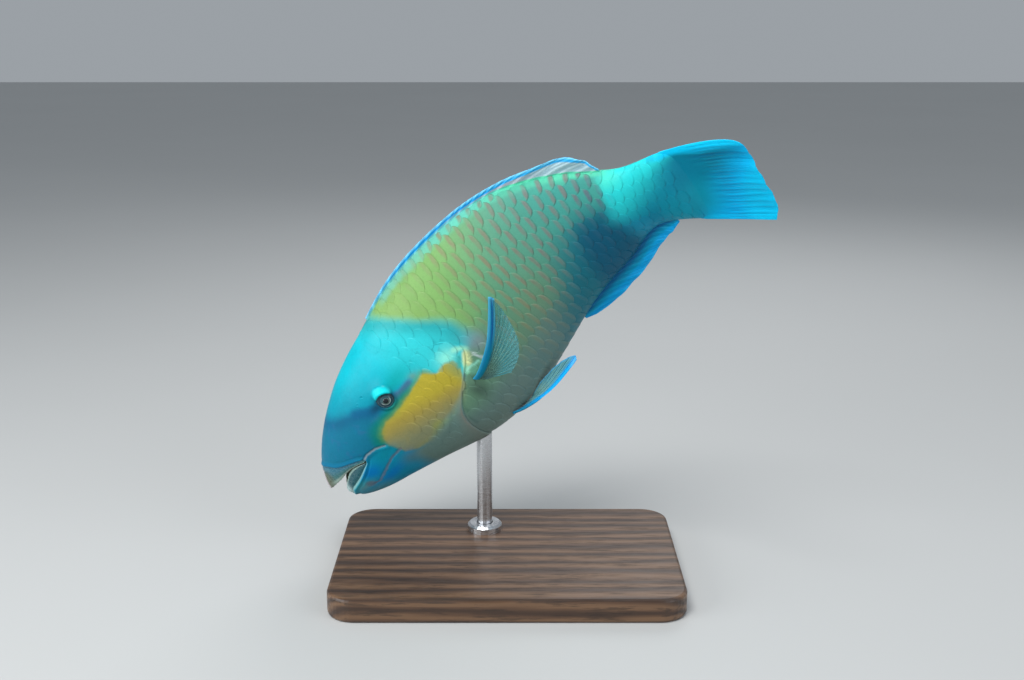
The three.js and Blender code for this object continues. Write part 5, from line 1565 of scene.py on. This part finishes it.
# ================================================================ stand
def wood_material():
    m, nt, bs = material("oiled_hardwood")
    g = Nodes(nt)
    mp = g.node("ShaderNodeMapping")
    g.put(mp.inputs["Vector"], g.where())
    mp.inputs["Scale"].default_value = (1.0, 9.0, 9.0)
    v = mp.outputs[0]
    big = g.noise(9.0, 4.0, 0.55, v, 1.2)
    wave = g.node("ShaderNodeTexWave", wave_type="RINGS", rings_direction="X")
    mp2 = g.node("ShaderNodeMapping")
    g.put(mp2.inputs["Vector"], g.where())
    mp2.inputs["Location"].default_value = (0.0, 0.11, 0.06)
    mp2.inputs["Scale"].default_value = (0.12, 1.0, 1.6)
    g.put(wave.inputs["Vector"], mp2.outputs[0])
    wave.inputs["Scale"].default_value = 42.0
    wave.inputs["Distortion"].default_value = 5.0
    wave.inputs["Detail"].default_value = 3.0
    wave.inputs["Detail Scale"].default_value = 1.4
    fine = g.noise(60.0, 4.0, 0.65, v)
    mixf = g.math("ADD", g.math("MULTIPLY", wave.outputs["Fac"], 0.55), g.math("MULTIPLY", big, 0.45))
    col = g.ramp(mixf, [(0.2, (0.040, 0.019, 0.010)), (0.5, (0.085, 0.042, 0.021)), (0.8, (0.15, 0.080, 0.040))])
    col = g.mix(g.ramp(fine, [(0.50, 0.0), (0.66, 0.6)]), col, (0.018, 0.009, 0.005))
    g.put(bs.inputs["Base Color"], col)
    g.put(bs.inputs["Roughness"], g.ramp(fine, [(0.3, 0.34), (0.7, 0.56)]))
    g.put(bs.inputs["Normal"], g.bump(fine, 0.18, 0.0003))
    bs.inputs["Coat Weight"].default_value = 0.15
    bs.inputs["Coat Roughness"].default_value = 0.3
    return m


def steel_material():
    m, nt, bs = material("brushed_rod")
    g = Nodes(nt)
    mp = g.node("ShaderNodeMapping")
    g.put(mp.inputs["Vector"], g.where())
    mp.inputs["Scale"].default_value = (1.0, 1.0, 22.0)
    brush = g.noise(190.0, 3.0, 0.6, mp.outputs[0])
    g.put(bs.inputs["Base Color"], g.mix(brush, (0.50, 0.51, 0.53), (0.66, 0.67, 0.69)))
    g.put(bs.inputs["Roughness"], g.ramp(brush, [(0.3, 0.24), (0.7, 0.40)]))
    g.put(bs.inputs["Normal"], g.bump(brush, 0.08, 0.0001))
    bs.inputs["Metallic"].default_value = 1.0
    return m


WOOD, STEEL = wood_material(), steel_material()
for name, m in (("stand_base", WOOD), ("stand_rod", STEEL), ("stand_collar", STEEL)):
    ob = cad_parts[name]
    if not ob.material_slots:
        ob.data.materials.append(m)
    for slot in ob.material_slots:
        slot.material = m

# ================================================================ what rides on what
pieces = {
    "skin": [skin] + coats, "fin": [caudal, dorsal, anal, pel_l, pel_r] + pec_l + pec_r,
    "eye": eyes, "beak": beaks_up + beaks_low,
}
for slot, obs in pieces.items():
    for ob in obs:
        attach(ob, "root")
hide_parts("head", "trunk", "tail")
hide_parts("caudal_fin")
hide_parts("dorsal_fin")
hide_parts("anal_fin")
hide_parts("pectoral_fin_left")
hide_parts("pectoral_fin_right")
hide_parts("pelvic_fin_left")
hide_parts("pelvic_fin_right")
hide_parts("eye_left")
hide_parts("eye_right")
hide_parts("beak_upper")
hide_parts("beak_lower")

# ================================================================ floor, light, camera
bpy.ops.mesh.primitive_plane_add(size=6, location=(0, 0.9, 0))
floor = bpy.context.object
floor.name = "floor"
fm, fnt, fbs = material("floor_pale")
fg = Nodes(fnt)
fg.put(fbs.inputs["Base Color"], fg.mix(fg.noise(3.0, 3.0), (0.50, 0.51, 0.51), (0.53, 0.54, 0.54)))
fbs.inputs["Roughness"].default_value = 0.85
floor.data.materials.append(fm)

world = bpy.data.worlds.new("studio") if not bpy.context.scene.world else bpy.context.scene.world
bpy.context.scene.world = world
world.use_nodes = True
bg = world.node_tree.nodes.get("Background") or world.node_tree.nodes.new("ShaderNodeBackground")
bg.inputs["Color"].default_value = (0.86, 0.93, 1.0, 1)
bg.inputs["Strength"].default_value = 0.38


def area(name, loc, target, size, energy, colour=(1, 1, 1)):
    from mathutils import Vector
    d = bpy.data.lights.new(name, "AREA")
    d.shape = "DISK"
    d.size = size
    d.energy = energy
    d.color = colour
    o = bpy.data.objects.new(name, d)
    bpy.context.scene.collection.objects.link(o)
    o.location = loc
    o.rotation_euler = (Vector(target) - Vector(loc)).to_track_quat("-Z", "Y").to_euler()
    return o


area("key", (-0.25, -0.45, 0.95), (-0.01, 0.0, 0.13), 0.45, 7.4, (1.0, 0.99, 0.97))
area("fill", (0.75, -0.55, 0.45), (0.0, 0.0, 0.12), 0.8, 3.0, (0.93, 0.97, 1.0))
area("low", (-0.88, -0.52, 0.26), (0.06, 0.0, 0.18), 0.8, 7.4, (0.96, 0.99, 1.0))
area("rim", (0.25, 0.75, 0.75), (0.0, 0.0, 0.14), 0.6, 2.4)

scene = bpy.context.scene
scene.view_settings.view_transform = "Standard"
cam_data = bpy.data.cameras.new("camera")
cam = bpy.data.objects.new("camera", cam_data)
scene.collection.objects.link(cam)
cam_data.sensor_width = 36.0
cam_data.lens = 45.0
cam_data.clip_start, cam_data.clip_end = 0.01, 20.0
ELEV, DIST = radians(15.0), 0.6435
AIM = SPINE_REF - np.array([-0.027946, -0.0008205, -0.0030622])
cam.location = tuple(AIM + DIST * np.array([0, -cos(ELEV), sin(ELEV)]))
cam.rotation_euler = (pi / 2 - ELEV, 0, 0)
scene.camera = cam
